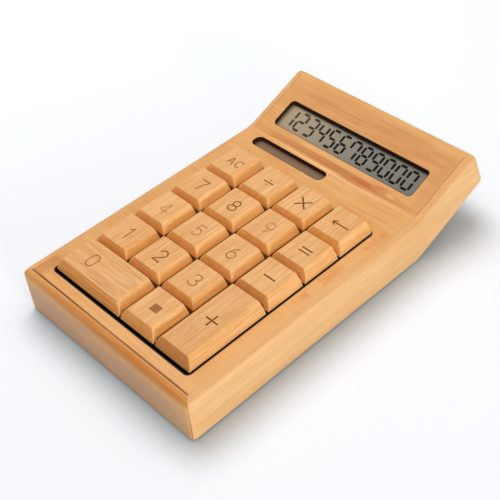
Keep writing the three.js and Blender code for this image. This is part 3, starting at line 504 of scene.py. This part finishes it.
def dressPanel(node, material, closeSeam=None, wallOf=None):
    # The panel's own shape with softened edges. closeSeam moves its points, in mm, and wallOf says which
    # faces are the walls of its openings.
    points, triangles = mergedMesh(node)
    placed = closeSeam(points) if closeSeam else points
    panel = meshPiece(node + "_bamboo", placed, triangles, "case", material)
    if wallOf:
        panel.data.materials.append(charred)
        corners = points[triangles]
        walls = wallOf(corners.mean(axis=1), faceNormals(corners))
        panel.data.polygons.foreach_set("material_index", walls.astype(np.int32))
    shares = edgeShares(panel.data, points, triangles)
    panel.data.attributes.new("bevel_weight_edge", "FLOAT", "EDGE").data.foreach_set("value", shares)
    panel.data.set_sharp_from_angle(angle=math.radians(panelEdge["shadedSharpFrom"]))
    edges = panel.modifiers.new("soft_edges", "BEVEL")
    edges.width = panelEdge["bottomRound"] * mm
    edges.segments = panelEdge["steps"]
    edges.limit_method = "WEIGHT"
    edges.use_clamp_overlap = True
    weighted = panel.modifiers.new("even_shading", "WEIGHTED_NORMAL")
    weighted.keep_sharp = True
    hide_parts(node)


def closeTop(points):
    # The glued seams of the top panel are shut: its sides move out and both ends grow. Beside the head a hair
    # more is left open.
    moved = points.copy()
    s = headPlace(points)[0]
    onSide = np.abs(np.abs(points[:, 0]) - case["innerHalf"] + case["seam"]) < onPlane
    gap = np.where(s[onSide] > 0, panelEdge["headGlue"], panelEdge["glue"])
    moved[onSide, 0] = np.sign(points[onSide, 0]) * (case["innerHalf"] - gap)
    shift = case["seam"] - panelEdge["glue"]
    atFront = np.abs(points[:, 1] - (case["frontY"] + case["wall"] + case["seam"])) < onPlane
    atBack = np.abs(s - (case["headLength"] - case["wall"] - case["seam"])) < onPlane
    moved[atFront, 1] -= shift
    moved[atBack] += shift * alongHead
    return moved


def closeSide(points):
    # The mitred ends of a side panel grow along the panel until they meet the front and the back panel, and
    # no point goes past the upper corner of the CAD box.
    moved = points.copy()
    reach = (case["seam"] - panelEdge["glue"]) * math.sqrt(2)
    onSeam = seamPlanes(points)
    front, back = onSeam[:, 3], onSeam[:, 5]
    moved[front, 1] -= reach
    moved[back] += reach * alongHead
    return np.minimum(moved, np.array(cadBox[1]) / mm)


def openingWalls(centres, normals):
    # A face is a wall of an opening if its normal hardly points up from the panel there, and it lies below
    # the panel's face.
    tilt = case["headTilt"]
    inHead = centres[:, 1] > case["creaseY"]
    up = np.where(inHead, normals[:, 2] * math.cos(tilt) - normals[:, 1] * math.sin(tilt), normals[:, 2])
    depth = np.where(inHead, headPlace(centres)[1], case["top"] - centres[:, 2])
    return (np.abs(up) < panelEdge["wallUp"]) & nearOpenings(centres) & (depth > 5 * onPlane)


dressPanel("top_panel", topBamboo, closeTop, openingWalls)
dressPanel("front_panel", frontBamboo)
dressPanel("back_panel", backBamboo)
dressPanel("left_side_panel", sideBamboo, closeSide)
dressPanel("right_side_panel", sideBamboo, closeSide)
dressPanel("base_plate", baseBamboo)
dressPanel("head_base_plate", backBamboo)
print("panels dressed")

# Keys, in mm: a flat top, rounded shoulders, a sloping front and a legend cut by laser
keyShape = {
    "gap": 0.8,
    "firstCorner": (-42.2, -78.067),
    "top": 28.6,
    "bottom": 20.7,
    "shoulder": (3.0, 6.5),
    "frontSlope": 2.7,
    "backSlope": 0.6,
    "edgeSoftness": 0.22,
    "cornerSoftness": 1.2,
    "flatWithin": 0.02,
    "coarse": 1.3,
    "fine": 0.13,
    "closest": 0.02,
    "shoulderLines": (15, 0.2, 7),
    "frontLines": (14, 0.15, 5),
    "backLines": (9, 0.2),
    "frontMargin": 0.1,
    "stem": 6.0,
    "ear": (1.2, 1.2),
    "stemBottom": 15.4,
    "stemOverlap": 0.1,
    "legendSize": 6.5,
    "legendShift": (1.06, 0.5),
    "line": 0.5,
    "lineByBurn": (0.7, 0.6),
    "lineSoft": 0.12,
    "depth": 0.22,
    "halo": (0.16, 0.2),
    # Painted shade low in the gaps between keys: where it starts, the depth over which it grows, its share.
    "gapShadeTop": 25.0,
    "gapShadeDepth": 1.0,
    "gapShadeShare": 0.9,
    "plankStep": 3.7,
    "columns": 4,
    "sharpFrom": 50.0,
}


def curve(cx, cy, rx, ry, start, end, steps=14):
    # Points of an ellipse's arc, angles in degrees.
    angles = np.radians(np.linspace(start, end, steps))
    return np.column_stack([cx + rx * np.cos(angles), cy + ry * np.sin(angles)])


# Legends as strokes, about one high and centred on the origin
six = [curve(0, -0.19, 0.3, 0.31, 0, 360, 24), curve(0.22, -0.19, 0.52, 0.69, 100, 180)]
glyphs = {
    "0": [np.vstack([curve(0, 0.18, 0.29, 0.32, 0, 180), curve(0, -0.18, 0.29, 0.32, 180, 360),
                     [(0.29, 0.18)]])],
    "1": [[(-0.2, 0.28), (0.08, 0.5), (0.08, -0.5)]],
    "2": [np.vstack([curve(0, 0.2, 0.3, 0.3, 165, -35), [(-0.32, -0.5), (0.32, -0.5)]])],
    "3": [curve(-0.02, 0.25, 0.28, 0.25, 155, -90), curve(-0.02, -0.24, 0.32, 0.26, 90, -155)],
    "4": [[(0.12, -0.5), (0.12, 0.5), (-0.33, -0.22), (0.34, -0.22)]],
    "5": [np.vstack([[(0.28, 0.5), (-0.22, 0.5), (-0.27, 0.02)], curve(0, -0.18, 0.31, 0.32, 125, -150)])],
    "6": six,
    "7": [[(-0.33, 0.5), (0.33, 0.5), (0.08, 0.02), (-0.04, -0.5)]],
    "8": [curve(0, 0.25, 0.26, 0.25, 0, 360, 20), curve(0, -0.24, 0.32, 0.26, 0, 360, 22)],
    "9": [-stroke for stroke in six],
    "plus": [[(-0.46, 0), (0.46, 0)], [(0, -0.46), (0, 0.46)]],
    "minus": [[(-0.42, 0), (0.42, 0)]],
    "equals": [[(-0.42, 0.16), (0.42, 0.16)], [(-0.42, -0.16), (0.42, -0.16)]],
    "multiply": [[(-0.42, -0.4), (0.42, 0.4)], [(-0.42, 0.4), (0.42, -0.4)]],
    "divide": [[(-0.4, 0), (0.4, 0)], [(-0.02, 0.26), (0.02, 0.26)], [(-0.02, -0.26), (0.02, -0.26)]],
    "backspace": [[(-0.55, 0), (0.68, 0)], [(-0.36, 0.2), (-0.6, 0), (-0.36, -0.2)]],
    "clear": [[(-0.66, -0.34), (-0.38, 0.34), (-0.1, -0.34)], [(-0.55, -0.1), (-0.21, -0.1)],
              curve(0.38, 0, 0.28, 0.34, 50, 310)],
    "decimal": [[(-0.3, level), (0.3, level)] for level in np.linspace(-0.24, 0.24, 5)],
}

# cell is the column and row where a key starts, cells how many it covers if more than one, burn how dark the
# laser left its legend, shade how much darker the key is, and frontShade how much painted shade darkens its
# front.
keys = {
    "0": {"cell": (0, 0), "cells": (2, 1), "burn": 0.6, "frontShade": 0.2, "legendX": -28.95,
          "legendSize": 6.9},
    "decimal": {"cell": (2, 0), "burn": 0.7, "frontShade": 0.25},
    "plus": {"cell": (3, 0), "cells": (1, 2), "burn": 1.0, "shade": 0.1, "frontShade": 0.7},
    "1": {"cell": (0, 1), "burn": 0.65, "shade": 0.05},
    "2": {"cell": (1, 1), "burn": 0.75},
    "3": {"cell": (2, 1), "burn": 0.6},
    "4": {"cell": (0, 2), "burn": 0.5},
    "5": {"cell": (1, 2), "burn": 0.55},
    "6": {"cell": (2, 2), "burn": 0.6},
    "minus": {"cell": (3, 2), "burn": 1.0, "frontShade": 0.3},
    "7": {"cell": (0, 3), "burn": 0.72},
    "8": {"cell": (1, 3), "burn": 0.75},
    "9": {"cell": (2, 3), "burn": 0.5},
    "equals": {"cell": (3, 3), "burn": 0.85, "frontShade": 0.2},
    "clear": {"cell": (0, 4), "burn": 0.65},
    "divide": {"cell": (1, 4), "burn": 0.8},
    "multiply": {"cell": (2, 4), "burn": 1.0},
    "backspace": {"cell": (3, 4), "burn": 0.85},
}
for key in keys.values():
    key.setdefault("cells", (1, 1))


def smoothLarger(a, b, k):
    # The larger of two heights, with the crease between them rounded over about k.
    near = np.maximum(k - np.abs(a - b), 0) / k
    return np.maximum(a, b) + near * near * k / 4


def sideDrop(x, x0, x1):
    # How far the shoulder is below the top: an arc that leaves the flat at an angle and ends upright.
    width, drop = keyShape["shoulder"]
    start = math.pi / 2 - 2 * math.atan2(width, drop)
    radius = drop / math.cos(start)
    out = np.maximum(x - (x1 - width), (x0 + width) - x)
    sine = np.clip(out / radius + math.sin(start), 0, 1)
    return radius * (math.cos(start) - np.sqrt(1 - sine * sine))


def endDrop(y, y0, y1):
    # How far the sloping front and the steep back are below the top.
    drop = keyShape["shoulder"][1]
    front = ((y0 + keyShape["frontSlope"]) - y) * drop / keyShape["frontSlope"]
    rear = (y - (y1 - keyShape["backSlope"])) * drop / keyShape["backSlope"]
    return np.maximum(front, rear)


def stations(low, high, fineLow, fineHigh, inFront, inBack):
    # Grid lines from low to high: close together at both ends and over the legend, wide apart elsewhere.
    parts = [low + inFront, np.arange(fineLow, fineHigh, keyShape["fine"]), high - inBack,
             np.arange(low, high, keyShape["coarse"])]
    lines = np.unique(np.concatenate(parts).round(3))
    lines = lines[(lines >= low - tiny) & (lines <= high + tiny)]
    keep = np.concatenate([[True], np.diff(lines) > keyShape["closest"]])
    keep[-1] = True
    return lines[keep]


def strokeDistance(x, y, strokes):
    # Distance from each point to the nearest leg of the strokes.
    nearest = np.full(x.shape, np.inf)
    for stroke in strokes:
        for a, b in zip(stroke[:-1], stroke[1:]):
            leg = b - a
            share = ((x - a[0]) * leg[0] + (y - a[1]) * leg[1]) / max(leg @ leg, tiny)
            share = np.clip(share, 0, 1)
            nearest = np.minimum(nearest, np.hypot(x - a[0] - share * leg[0], y - a[1] - share * leg[1]))
    return nearest


def cellCentres(key):
    # The middles of the cells that a key covers. Each has a stem and a rubber dome.
    (x, y), (px, py) = keyShape["firstCorner"], case["pitch"]
    (column, row), (wide, deep), half = key["cell"], key["cells"], keyShape["gap"] / 2
    return [(x - half + (column + i + 0.5) * px, y - half + (row + j + 0.5) * py)
            for i in range(wide) for j in range(deep)]


def keyBounds(key):
    # The left, right, front and back edge of a key's cap.
    (x, y), (px, py) = keyShape["firstCorner"], case["pitch"]
    (column, row), (wide, deep), gap = key["cell"], key["cells"], keyShape["gap"]
    x0, y0 = x + column * px, y + row * py
    return x0, x0 + wide * px - gap, y0, y0 + deep * py - gap


def placedLegend(name, key):
    # The strokes of a key's legend in their place, half the line's width, the legend's middle and its reach.
    x0, x1, y0, y1 = keyBounds(key)
    shiftX, shiftY = keyShape["legendShift"]
    middle = np.array([key.get("legendX", (x0 + x1) / 2 + shiftX), (y0 + y1) / 2 + shiftY])
    least, byBurn = keyShape["lineByBurn"]
    line = keyShape["line"] * (least + byBurn * key["burn"])
    size = key.get("legendSize", keyShape["legendSize"])
    strokes = [np.array(stroke) * size + middle for stroke in glyphs[name]]
    reach = np.abs(np.vstack(strokes) - middle).max(axis=0) + line
    return strokes, line / 2, middle, reach


def capGrid(key, middle, reach):
    # Where the upper face of a key has its points: close together on the slopes and on the legend, which is
    # given by its middle and its reach. shoulderLines and frontLines are a count, then how far the lines at
    # the crest reach, and their count.
    x0, x1, y0, y1 = keyBounds(key)
    width, slope = keyShape["shoulder"][0], keyShape["frontSlope"]
    count, half, atCrest = keyShape["shoulderLines"]
    arc = width * np.sin(np.linspace(0, math.pi / 2, count)) ** 1.5
    side = np.concatenate([width - arc, width + np.linspace(-half, half, atCrest)])
    count, half, atCrest = keyShape["frontLines"]
    front = np.concatenate([np.linspace(0, slope, count), slope + np.linspace(-half, half, atCrest)])
    count, past = keyShape["backLines"]
    rear = np.linspace(0, keyShape["backSlope"] + past, count)
    xs = stations(x0, x1, middle[0] - reach[0], middle[0] + reach[0], side, side)
    ys = stations(y0, y1, middle[1] - reach[1], middle[1] + reach[1], front, rear)
    return np.meshgrid(xs, ys, indexing="ij")


def stemBoxes(key, first):
    # A square stem under each cell, and a flat box at its foot, whose ears hold the key in. The faces count
    # their points from the first number given.
    half, (earX, earZ), foot = keyShape["stem"] / 2, keyShape["ear"], keyShape["stemBottom"]
    square = np.array([(-1, -1), (1, -1), (1, 1), (-1, 1)])
    boxes = ((half, foot, keyShape["bottom"] + keyShape["stemOverlap"]), (half + earX, foot, foot + earZ))
    rings, faces = [], []
    for centre in cellCentres(key):
        for halfX, low, high in boxes:
            c = first + 4 * len(rings)
            ring = square * (halfX, half) + centre
            rings += [np.column_stack([ring, np.full(4, level)]) for level in (low, high)]
            faces += [[c + 3, c + 2, c + 1, c], [c + 4, c + 5, c + 6, c + 7]]
            faces += [[c + k, c + (k + 1) % 4, c + 4 + (k + 1) % 4, c + 4 + k] for k in range(4)]
    return rings, faces


def keyCap(name, key, plank):
    # The upper face is the top's level less the larger of the side's and the end's drop, less the groove of
    # the legend. A skirt, a floor and the stems are below it.
    x0, x1, y0, y1 = keyBounds(key)
    strokes, halfLine, middle, reach = placedLegend(name, key)
    x, y = capGrid(key, middle, reach)
    (width, drop), slope, soft = keyShape["shoulder"], keyShape["frontSlope"], keyShape["lineSoft"]
    side, end = sideDrop(x, x0, x1), endDrop(y, y0, y1)
    fall = smoothLarger(side, end, keyShape["cornerSoftness"])
    fall = np.minimum(smoothLarger(fall, 0, keyShape["edgeSoftness"]), drop)
    cut = strokeDistance(x, y, strokes)
    groove = np.clip((halfLine + soft - cut) / (2 * soft), 0, 1)
    groove = groove * groove * (3 - 2 * groove)
    z = keyShape["top"] - np.where(fall < keyShape["flatWithin"], 0, fall) - groove * keyShape["depth"]
    nx, ny = x.shape
    top = np.column_stack([x.ravel(), y.ravel(), z.ravel()])
    index = np.arange(nx * ny).reshape(nx, ny)
    quads = np.stack([index[:-1, :-1], index[1:, :-1], index[1:, 1:], index[:-1, 1:]], -1).reshape(-1, 4)
    rim = np.concatenate([index[:-1, 0], index[-1, :-1], index[:0:-1, -1], index[0, :0:-1]])
    low = np.column_stack([top[rim, :2], np.full(len(rim), keyShape["bottom"])])
    base = x.size + np.arange(len(rim))
    skirt = np.column_stack([rim, base, np.roll(base, -1), np.roll(rim, -1)])
    stems, stemFaces = stemBoxes(key, x.size + len(rim))
    points = np.vstack([top, low, *stems])
    faces = quads.tolist() + skirt.tolist() + [base[::-1].tolist()] + stemFaces
    (column, row), wide, node = key["cell"], key["cells"][0], "key_" + name
    cap = meshPiece(node + "_cap", points, faces, node, wideKeyBamboo if wide > 1 else keyBamboo)

    # Tones of the upper face, and of everything below it
    haloReach, haloSoft = keyShape["halo"]
    halo = np.clip((halfLine + haloReach - cut) / haloSoft, 0, 1)
    inward = (x1 - x > width) | (column + wide < keyShape["columns"])
    inward &= (y - y0 > slope) | (row > 0)
    # Painted shade low in the gaps between keys, laid in the legend's burnt colour.
    gapShade = np.clip((keyShape["gapShadeTop"] - z) / keyShape["gapShadeDepth"], 0, 1) * inward
    burnAndShadeValues = np.maximum(halo * key["burn"], gapShade * keyShape["gapShadeShare"])
    # Painted light on the flanks between keys, stronger the deeper they fall.
    paintedLightBetween = np.where(inward & (side > end), fall / drop, 0)
    shade = key.get("shade", 0.0)
    # Painted shade on the key's front, by frontShade.
    front = (end > side) & (y < y0 + slope - keyShape["frontMargin"])
    shades = np.where(front, key.get("frontShade", 0.0), shade)
    tones = {"burnAndGapShade": (burnAndShadeValues, 0), "paintedLightBetween": (paintedLightBetween, 0), "shade": (shades, shade),
             "plank": (np.full(x.shape, plank), plank)}
    for tone, (upper, lower) in tones.items():
        values = np.append(upper, np.full(len(points) - x.size, lower, float))
        cap.data.attributes.new(tone, "FLOAT", "POINT").data.foreach_set("value", values)
    cap.data.set_sharp_from_angle(angle=math.radians(keyShape["sharpFrom"]))
    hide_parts(node)


for number, (name, key) in enumerate(keys.items()):
    keyCap(name, key, number * keyShape["plankStep"])
print("keys made")

# Segment display: digits of seven bars on a grey reflective glass, paler towards the left under a painted
# reflection. Places and the stretches over which tones change are in mm, along x or up the head's face.
display = {
    "text": "1234567890.00",
    "lastDigit": 34.55,
    "digitPitch": 6.6,
    "digitWidth": 4.2,
    "digitHeight": 9.5,
    "middle": 14.3,
    "bar": 1.3,
    "gap": 0.34,
    "overlap": (0.2, 0.25),
    "level": 2.29,
    "thick": 0.03,
    "point": (25.1, 9.4, 0.45),
    # The ink paler and the glass warmer towards the left in a painted reflection of the wood, and a painted
    # shadow under the window's upper wall.
    "ink": ("4e4739", "0b0a07"),
    "inkFades": (-44, -4),
    "glass": ("9f8b6b", "6a665a"),
    "glassCools": (-45, 20),
    "shadow": "241d12",
    "shadowGrows": (19.6, 21.2),
}
barsOf = {"0": "abcdef", "1": "bc", "2": "abged", "3": "abgcd", "4": "fgbc", "5": "afgcd", "6": "afgedc",
          "7": "fabc", "8": "abcdefg", "9": "abcdfg"}


def barOutline(length, thick):
    # A long hexagon along x about the origin.
    h, l = thick / 2, length / 2
    return np.array([(-l, 0), (-l + h, -h), (l - h, -h), (l, 0), (l - h, h), (-l + h, h)])


def digitBars(digit, x):
    # Outlines of the bars that make a digit at x, in the head's own x and s.
    w, h, thick = display["digitWidth"] / 2, display["digitHeight"] / 2, display["bar"]
    flatExtra, uprightExtra = (extra - 2 * display["gap"] for extra in display["overlap"])
    flat = barOutline(2 * w + flatExtra, thick)
    upright = barOutline(h + uprightExtra, thick)[:, ::-1]
    places = {"a": (flat, 0, h), "g": (flat, 0, 0), "d": (flat, 0, -h), "b": (upright, w, h / 2),
              "f": (upright, -w, h / 2), "c": (upright, w, -h / 2), "e": (upright, -w, -h / 2)}
    bars = [places[bar] for bar in barsOf[digit]]
    return [outline + (x + across, display["middle"] + rise) for outline, across, rise in bars]


outlines = []
digits = display["text"].replace(".", "")
for number, digit in enumerate(digits):
    x = display["lastDigit"] - (len(digits) - 1 - number) * display["digitPitch"]
    outlines += digitBars(digit, x)
pointX, pointS, radius = display["point"]
outlines.append(curve(pointX, pointS, radius, radius, 0, 360, 13)[:-1])
points, faces = [], []
for outline in outlines:
    around = np.roll(outline, -1, axis=0)
    if (outline[:, 0] * around[:, 1] - around[:, 0] * outline[:, 1]).sum() < 0:
        outline = outline[::-1]
    count, n = len(points), len(outline)
    for level in (display["level"], display["level"] - display["thick"]):
        points += [(x, *headPoint(s, level)) for x, s in outline]
    faces += [range(count + n, count + 2 * n), range(count + n - 1, count - 1, -1)]
    faces += [[count + k, count + (k + 1) % n, count + n + (k + 1) % n, count + n + k] for k in range(n)]

# Liquid crystal, dark where it is driven: nearly black, and weaker towards the far end of the glass,
# under a painted reflection of the wood.
crystal, tree, place = newMaterial("driven_liquid_crystal")
across = addNode(tree, "SeparateXYZ", {"Vector": place["Object"]}).outputs["X"]
far, near = display["inkFades"]
tone = laidOver(tree, *display["ink"], across, far * mm, near * mm)
cloud = addNode(tree, "TexNoise", {"Vector": place["Object"], "Scale": 900.0}).outputs[1]
mottled = addNode(tree, "Mix", {0: 0.1, 6: tone, 7: cloud}, data_type="RGBA", blend_type="SOFT_LIGHT")
ink = addNode(tree, "BsdfPrincipled",
              {"Base Color": mottled.outputs[2], "Roughness": 0.5, "Specular IOR Level": 0.05})
addNode(tree, "OutputMaterial", {"Surface": ink})
segments = meshPiece("display_segments", points, faces, "case", crystal, smooth=False)

# Display glass: polariser film over a grey-green reflector, with a painted reflection of the wood that makes
# it warm at the far end, and a painted shadow of the upper wall of the window.
glass, tree, place = newMaterial("polarised_display_glass")
across = addNode(tree, "SeparateXYZ", {"Vector": place["Object"]}).outputs["X"]
far, near = display["glassCools"]
tone = laidOver(tree, *display["glass"], across, far * mm, near * mm)
crease = Matrix.Rotation(-case["headTilt"], 3, "X") @ Vector((0, case["creaseY"], case["top"]))
along = addNode(tree, "Mapping", {"Vector": place["Object"], "Location": -crease,
                                  "Rotation": (-case["headTilt"], 0, 0), "Scale": inMm})
upwards = addNode(tree, "SeparateXYZ", {"Vector": along}).outputs["Y"]
tone = laidOver(tree, tone, display["shadow"], upwards, *display["shadowGrows"], 0.95)
speck = addNode(tree, "TexNoise", {"Vector": place["Object"], "Scale": 2500.0, "Detail": 1.0}).outputs[1]
shade = addNode(tree, "Mix", {0: 0.12, 6: tone, 7: speck}, data_type="RGBA", blend_type="SOFT_LIGHT")
pane = addNode(tree, "BsdfPrincipled",
               {"Base Color": shade.outputs[2], "Roughness": 0.3, "Specular IOR Level": 0.2})
addNode(tree, "OutputMaterial", {"Surface": pane})
print("display made")


def plainMaterial(name, first, second, scale, rough, metallic=0.0, relief=0.1):
    # Two close tones in a fine noise of the given grain, in mm, with a slight relief of the same grain.
    made, tree, place = newMaterial(name)
    grain = addNode(tree, "TexNoise", {"Vector": place["Object"], "Scale": 1 / (scale * mm), "Detail": 3.0})
    tone = addNode(tree, "Mix", {0: grain, 6: first, 7: second}, data_type="RGBA").outputs[2]
    bump = addNode(tree, "Bump", {"Height": grain, "Strength": relief, "Distance": fineRelief})
    shader = addNode(tree, "BsdfPrincipled",
                     {"Base Color": tone, "Normal": bump, "Roughness": rough, "Metallic": metallic})
    addNode(tree, "OutputMaterial", {"Surface": shader})
    return made


slotMaterials = {
    "black_plastic": plainMaterial("moulded_black_abs", "161514", "201e1c", 0.4, 0.6),
    "foot_rubber": plainMaterial("moulded_rubber", "26262a", "323236", 0.6, 0.85, relief=0.3),
    "dome_silicone": plainMaterial("moulded_silicone", "b4b8b8", "c4c8c8", 0.8, 0.55),
    "board_laminate": plainMaterial("green_solder_mask", "28602f", "357a3f", 1.2, 0.35),
    "chip_resin": plainMaterial("black_potting_resin", "0e0f10", "17181a", 2.0, 0.25),
    "display_glass": glass,
    "solar_glass": plainMaterial("amorphous_solar_cell", "745539", "84674c", 1.5, 0.3),
    "ribbon_film": plainMaterial("amber_film", "b8863c", "cfa35a", 1.0, 0.4),
    "red_insulation": plainMaterial("red_wire_insulation", "96201c", "ad2a26", 0.5, 0.5),
    "black_insulation": plainMaterial("black_wire_insulation", "121212", "1c1c1c", 0.5, 0.5),
    "steel": plainMaterial("nickel_plated_steel", "b8b5ae", "d0cdc6", 0.3, 0.3, metallic=1.0),
    "case_bamboo": topBamboo,
    "key_bamboo": keyBamboo,
}
for node in nodes.values():
    for index, old in enumerate(node.data.materials):
        node.data.materials[index] = slotMaterials[old.name.split(".")[0]]
print("materials given")

# Round pieces of the underside, in mm. Each outline lists radius and level from the lower face round to the
# top, and a tip lists radius and distance from the end.
roundPieces = {
    "sides": 64,
    "capSides": 192,
    "sharpFrom": 35.0,
    "crossReach": 1.5,
    "crossHalf": 0.32,
    "crossDepth": 0.9,
    "slotHalf": (6.0, 0.9),
    "slotDepth": 1.1,
    "soft": 0.2,
    "screwFace": (0.12, 2.5),
    "head": [(2.6, 0.0), (2.7, 0.1), (1.45, 1.5)],
    "headRadius": 2.7,
    "threadRadius": 1.3,
    "threadStart": 2.0,
    "threadEnd": 0.5,
    "threadPitch": 0.8,
    "threadDepth": 0.2,
    "tip": [(0.9, 0.3), (0.5, 0.0)],
    "capFace": (0.15, 7.8),
    "disc": [(7.9, 0.0), (8.12, 0.08), (8.2, 0.3), (8.2, 3.0), (6.2, 3.0)],
    "discTip": [(6.2, 0.2), (6.0, 0.0)],
    "lug": (1.5, 0.3, 1.0),
    "foot": [(0.6, 0.18), (2.2, 0.18), (2.5, 0.0), (3.8, 0.0), (4.2, 0.1), (4.43, 0.35), (4.5, 0.7),
             (4.5, 1.3)],
}


def crossRecess(x, y):
    # Two arms that cross, each as deep as it is near the middle.
    reach, half, soft = roundPieces["crossReach"], roundPieces["crossHalf"], roundPieces["soft"]
    arms = [np.clip((half - abs(a)) / soft + 0.5, 0, 1) * np.clip((reach - abs(b)) / reach * 2, 0, 1)
            for a, b in ((x, y), (y, x))]
    return roundPieces["crossDepth"] * np.maximum(*arms)


def coinSlot(x, y):
    # A straight groove with steep walls.
    (long, short), soft = roundPieces["slotHalf"], roundPieces["soft"]
    walls = np.minimum((long - abs(x)) / soft, (short - abs(y)) / soft)
    return roundPieces["slotDepth"] * np.clip(walls + 0.5, 0, 1)


def turnedMesh(outline, sides, recess=None):
    # The outline turned about an upright line: each point is (radius cos a, radius sin a, level), and a
    # recess raises the points of the lower face by its depth. Both ends are closed at the axis.
    radius, level = np.array(outline, float).T[:, :, None]
    angle = np.linspace(0, 2 * math.pi, sides, endpoint=False)
    x, y, z = radius * np.cos(angle), radius * np.sin(angle), level + 0 * angle
    foot, top = outline[0][1], outline[-1][1]
    if recess:
        z = z + np.where(level < onPlane, recess(x, y), 0)
        foot += recess(0.0, 0.0)
    points = np.column_stack([x.ravel(), y.ravel(), z.ravel()])
    points = np.vstack([points, [(0, 0, foot), (0, 0, top)]])
    ring = np.arange(x.size).reshape(x.shape)
    ahead = np.roll(ring, -1, axis=1)
    faces = np.stack([ring[:-1], ahead[:-1], ahead[1:], ring[1:]], axis=-1).reshape(-1, 4).tolist()
    faces += np.column_stack([ahead[0], ring[0], np.full(sides, x.size)]).tolist()
    faces += np.column_stack([ring[-1], ahead[-1], np.full(sides, x.size + 1)]).tolist()
    return points, faces


def roundPiece(node, body, slot, turned, tilt=0.0):
    # A turned mesh leans by the tilt onto the place of a CAD piece, which is as wide as the mesh.
    points, faces = turned
    low, high = (np.array(corner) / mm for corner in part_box(node))
    widest = points[:, 1].max()
    place = ((low[0] + high[0]) / 2, high[1] - widest * math.cos(tilt), low[2] + widest * math.sin(tilt))
    placed = points @ np.array(Matrix.Rotation(-tilt, 3, "X")) + place
    piece = meshPiece(node + "_turned", placed, faces, body, slotMaterials[slot])
    piece.data.set_sharp_from_angle(angle=math.radians(roundPieces["sharpFrom"]))
    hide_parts(node)


def flatFace(step, reach):
    # The middle of a lower face, cut finely enough for a recess.
    return [(radius, 0.0) for radius in np.arange(step, reach, step)]


def tipOutline(tip, length):
    # The tip of a piece that is so long.
    return [(radius, length - distance) for radius, distance in tip]


def screwOutline(length):
    # A countersunk head, then a thread as rings of two radii, and a blunt tip.
    start, pitch, depth = (roundPieces[name] for name in ("threadStart", "threadPitch", "threadDepth"))
    turns = np.arange(start, length - roundPieces["threadEnd"], pitch / 2)
    thread = [(roundPieces["threadRadius"] - depth * (turn % 2), level) for turn, level in enumerate(turns)]
    return (flatFace(*roundPieces["screwFace"]) + roundPieces["head"] + thread
            + tipOutline(roundPieces["tip"], length))


for name in ("foot_front_left", "foot_front_right", "foot_back_left", "foot_back_right"):
    roundPiece(name, "case", "foot_rubber", turnedMesh(roundPieces["foot"], roundPieces["sides"]))
screws = {**{f"base_screw_{i}": 0.0 for i in range(1, 5)},
          **{f"head_base_screw_{i}": case["underTilt"] for i in (1, 2)}}
for name, tilt in screws.items():
    # The box of a leaning screw is as high as its length and both ends' radii together, all leaning.
    low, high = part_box(name)
    bothEnds = roundPieces["headRadius"] + roundPieces["threadRadius"]
    length = ((high.z - low.z) / mm - bothEnds * math.sin(tilt)) / math.cos(tilt)
    screw = turnedMesh(screwOutline(length), roundPieces["sides"], crossRecess)
    roundPiece(name, "case", "steel", screw, tilt)

# The battery cap: a disc with a coin slot, and two lugs that lock it
low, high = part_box("battery_cap")
width, gap, thick = roundPieces["lug"]
reach, top = (high.x - low.x) / 2 / mm, (high.z - low.z) / mm
outline = flatFace(*roundPieces["capFace"]) + roundPieces["disc"] + tipOutline(roundPieces["discTip"], top)
points, faces = turnedMesh(outline, roundPieces["capSides"], coinSlot)
corners = np.array([(x, y, z) for z in (-1, 1) for y in (-1, 1) for x in (-1, 1)])
lugs = corners * (reach, width, thick / 2) + (0, 0, top - gap - thick / 2)
sheets = [[0, 2, 3, 1], [4, 5, 7, 6], [0, 1, 5, 4], [2, 6, 7, 3], [0, 4, 6, 2], [1, 3, 7, 5]]
faces += [[len(points) + corner for corner in sheet] for sheet in sheets]
roundPiece("battery_cap", "battery_cap", "black_plastic", (np.vstack([points, lugs]), faces))
print("underside made")

# Rubber membrane: a flat sheet, and hollow domes. Radius and level, in mm.
dome = {
    "sides": 32,
    "rise": 2.1,
    "hollow": 1.3,
    "outline": [(1.0, 1.3), (1.8, 1.3), (2.6, 0.8), (3.3, 0.35), (3.8, 0.0), (4.6, 0.0), (4.1, 0.5),
                (3.5, 1.1), (2.9, 1.75), (2.6, 2.1)],
}
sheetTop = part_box("key_membrane")[1].z / mm - dome["rise"]
points, triangles = mergedMesh("key_membrane")
flat = triangles[(points[triangles][:, :, 2] < sheetTop + 5 * onPlane).all(axis=1)]
used, corners = np.unique(flat, return_inverse=True)
sheet = meshPiece("key_membrane_sheet", points[used], corners.reshape(-1, 3), "case",
                  slotMaterials["dome_silicone"], smooth=False)
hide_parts("key_membrane")
for name, key in keys.items():
    for number, (x, y) in enumerate(cellCentres(key), 1):
        points, faces = turnedMesh(dome["outline"], dome["sides"])
        rubber = meshPiece(f"key_{name}_dome_{number}", points + (x, y, sheetTop), faces,
                           material=slotMaterials["dome_silicone"])
        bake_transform(rubber)
print("membrane made")
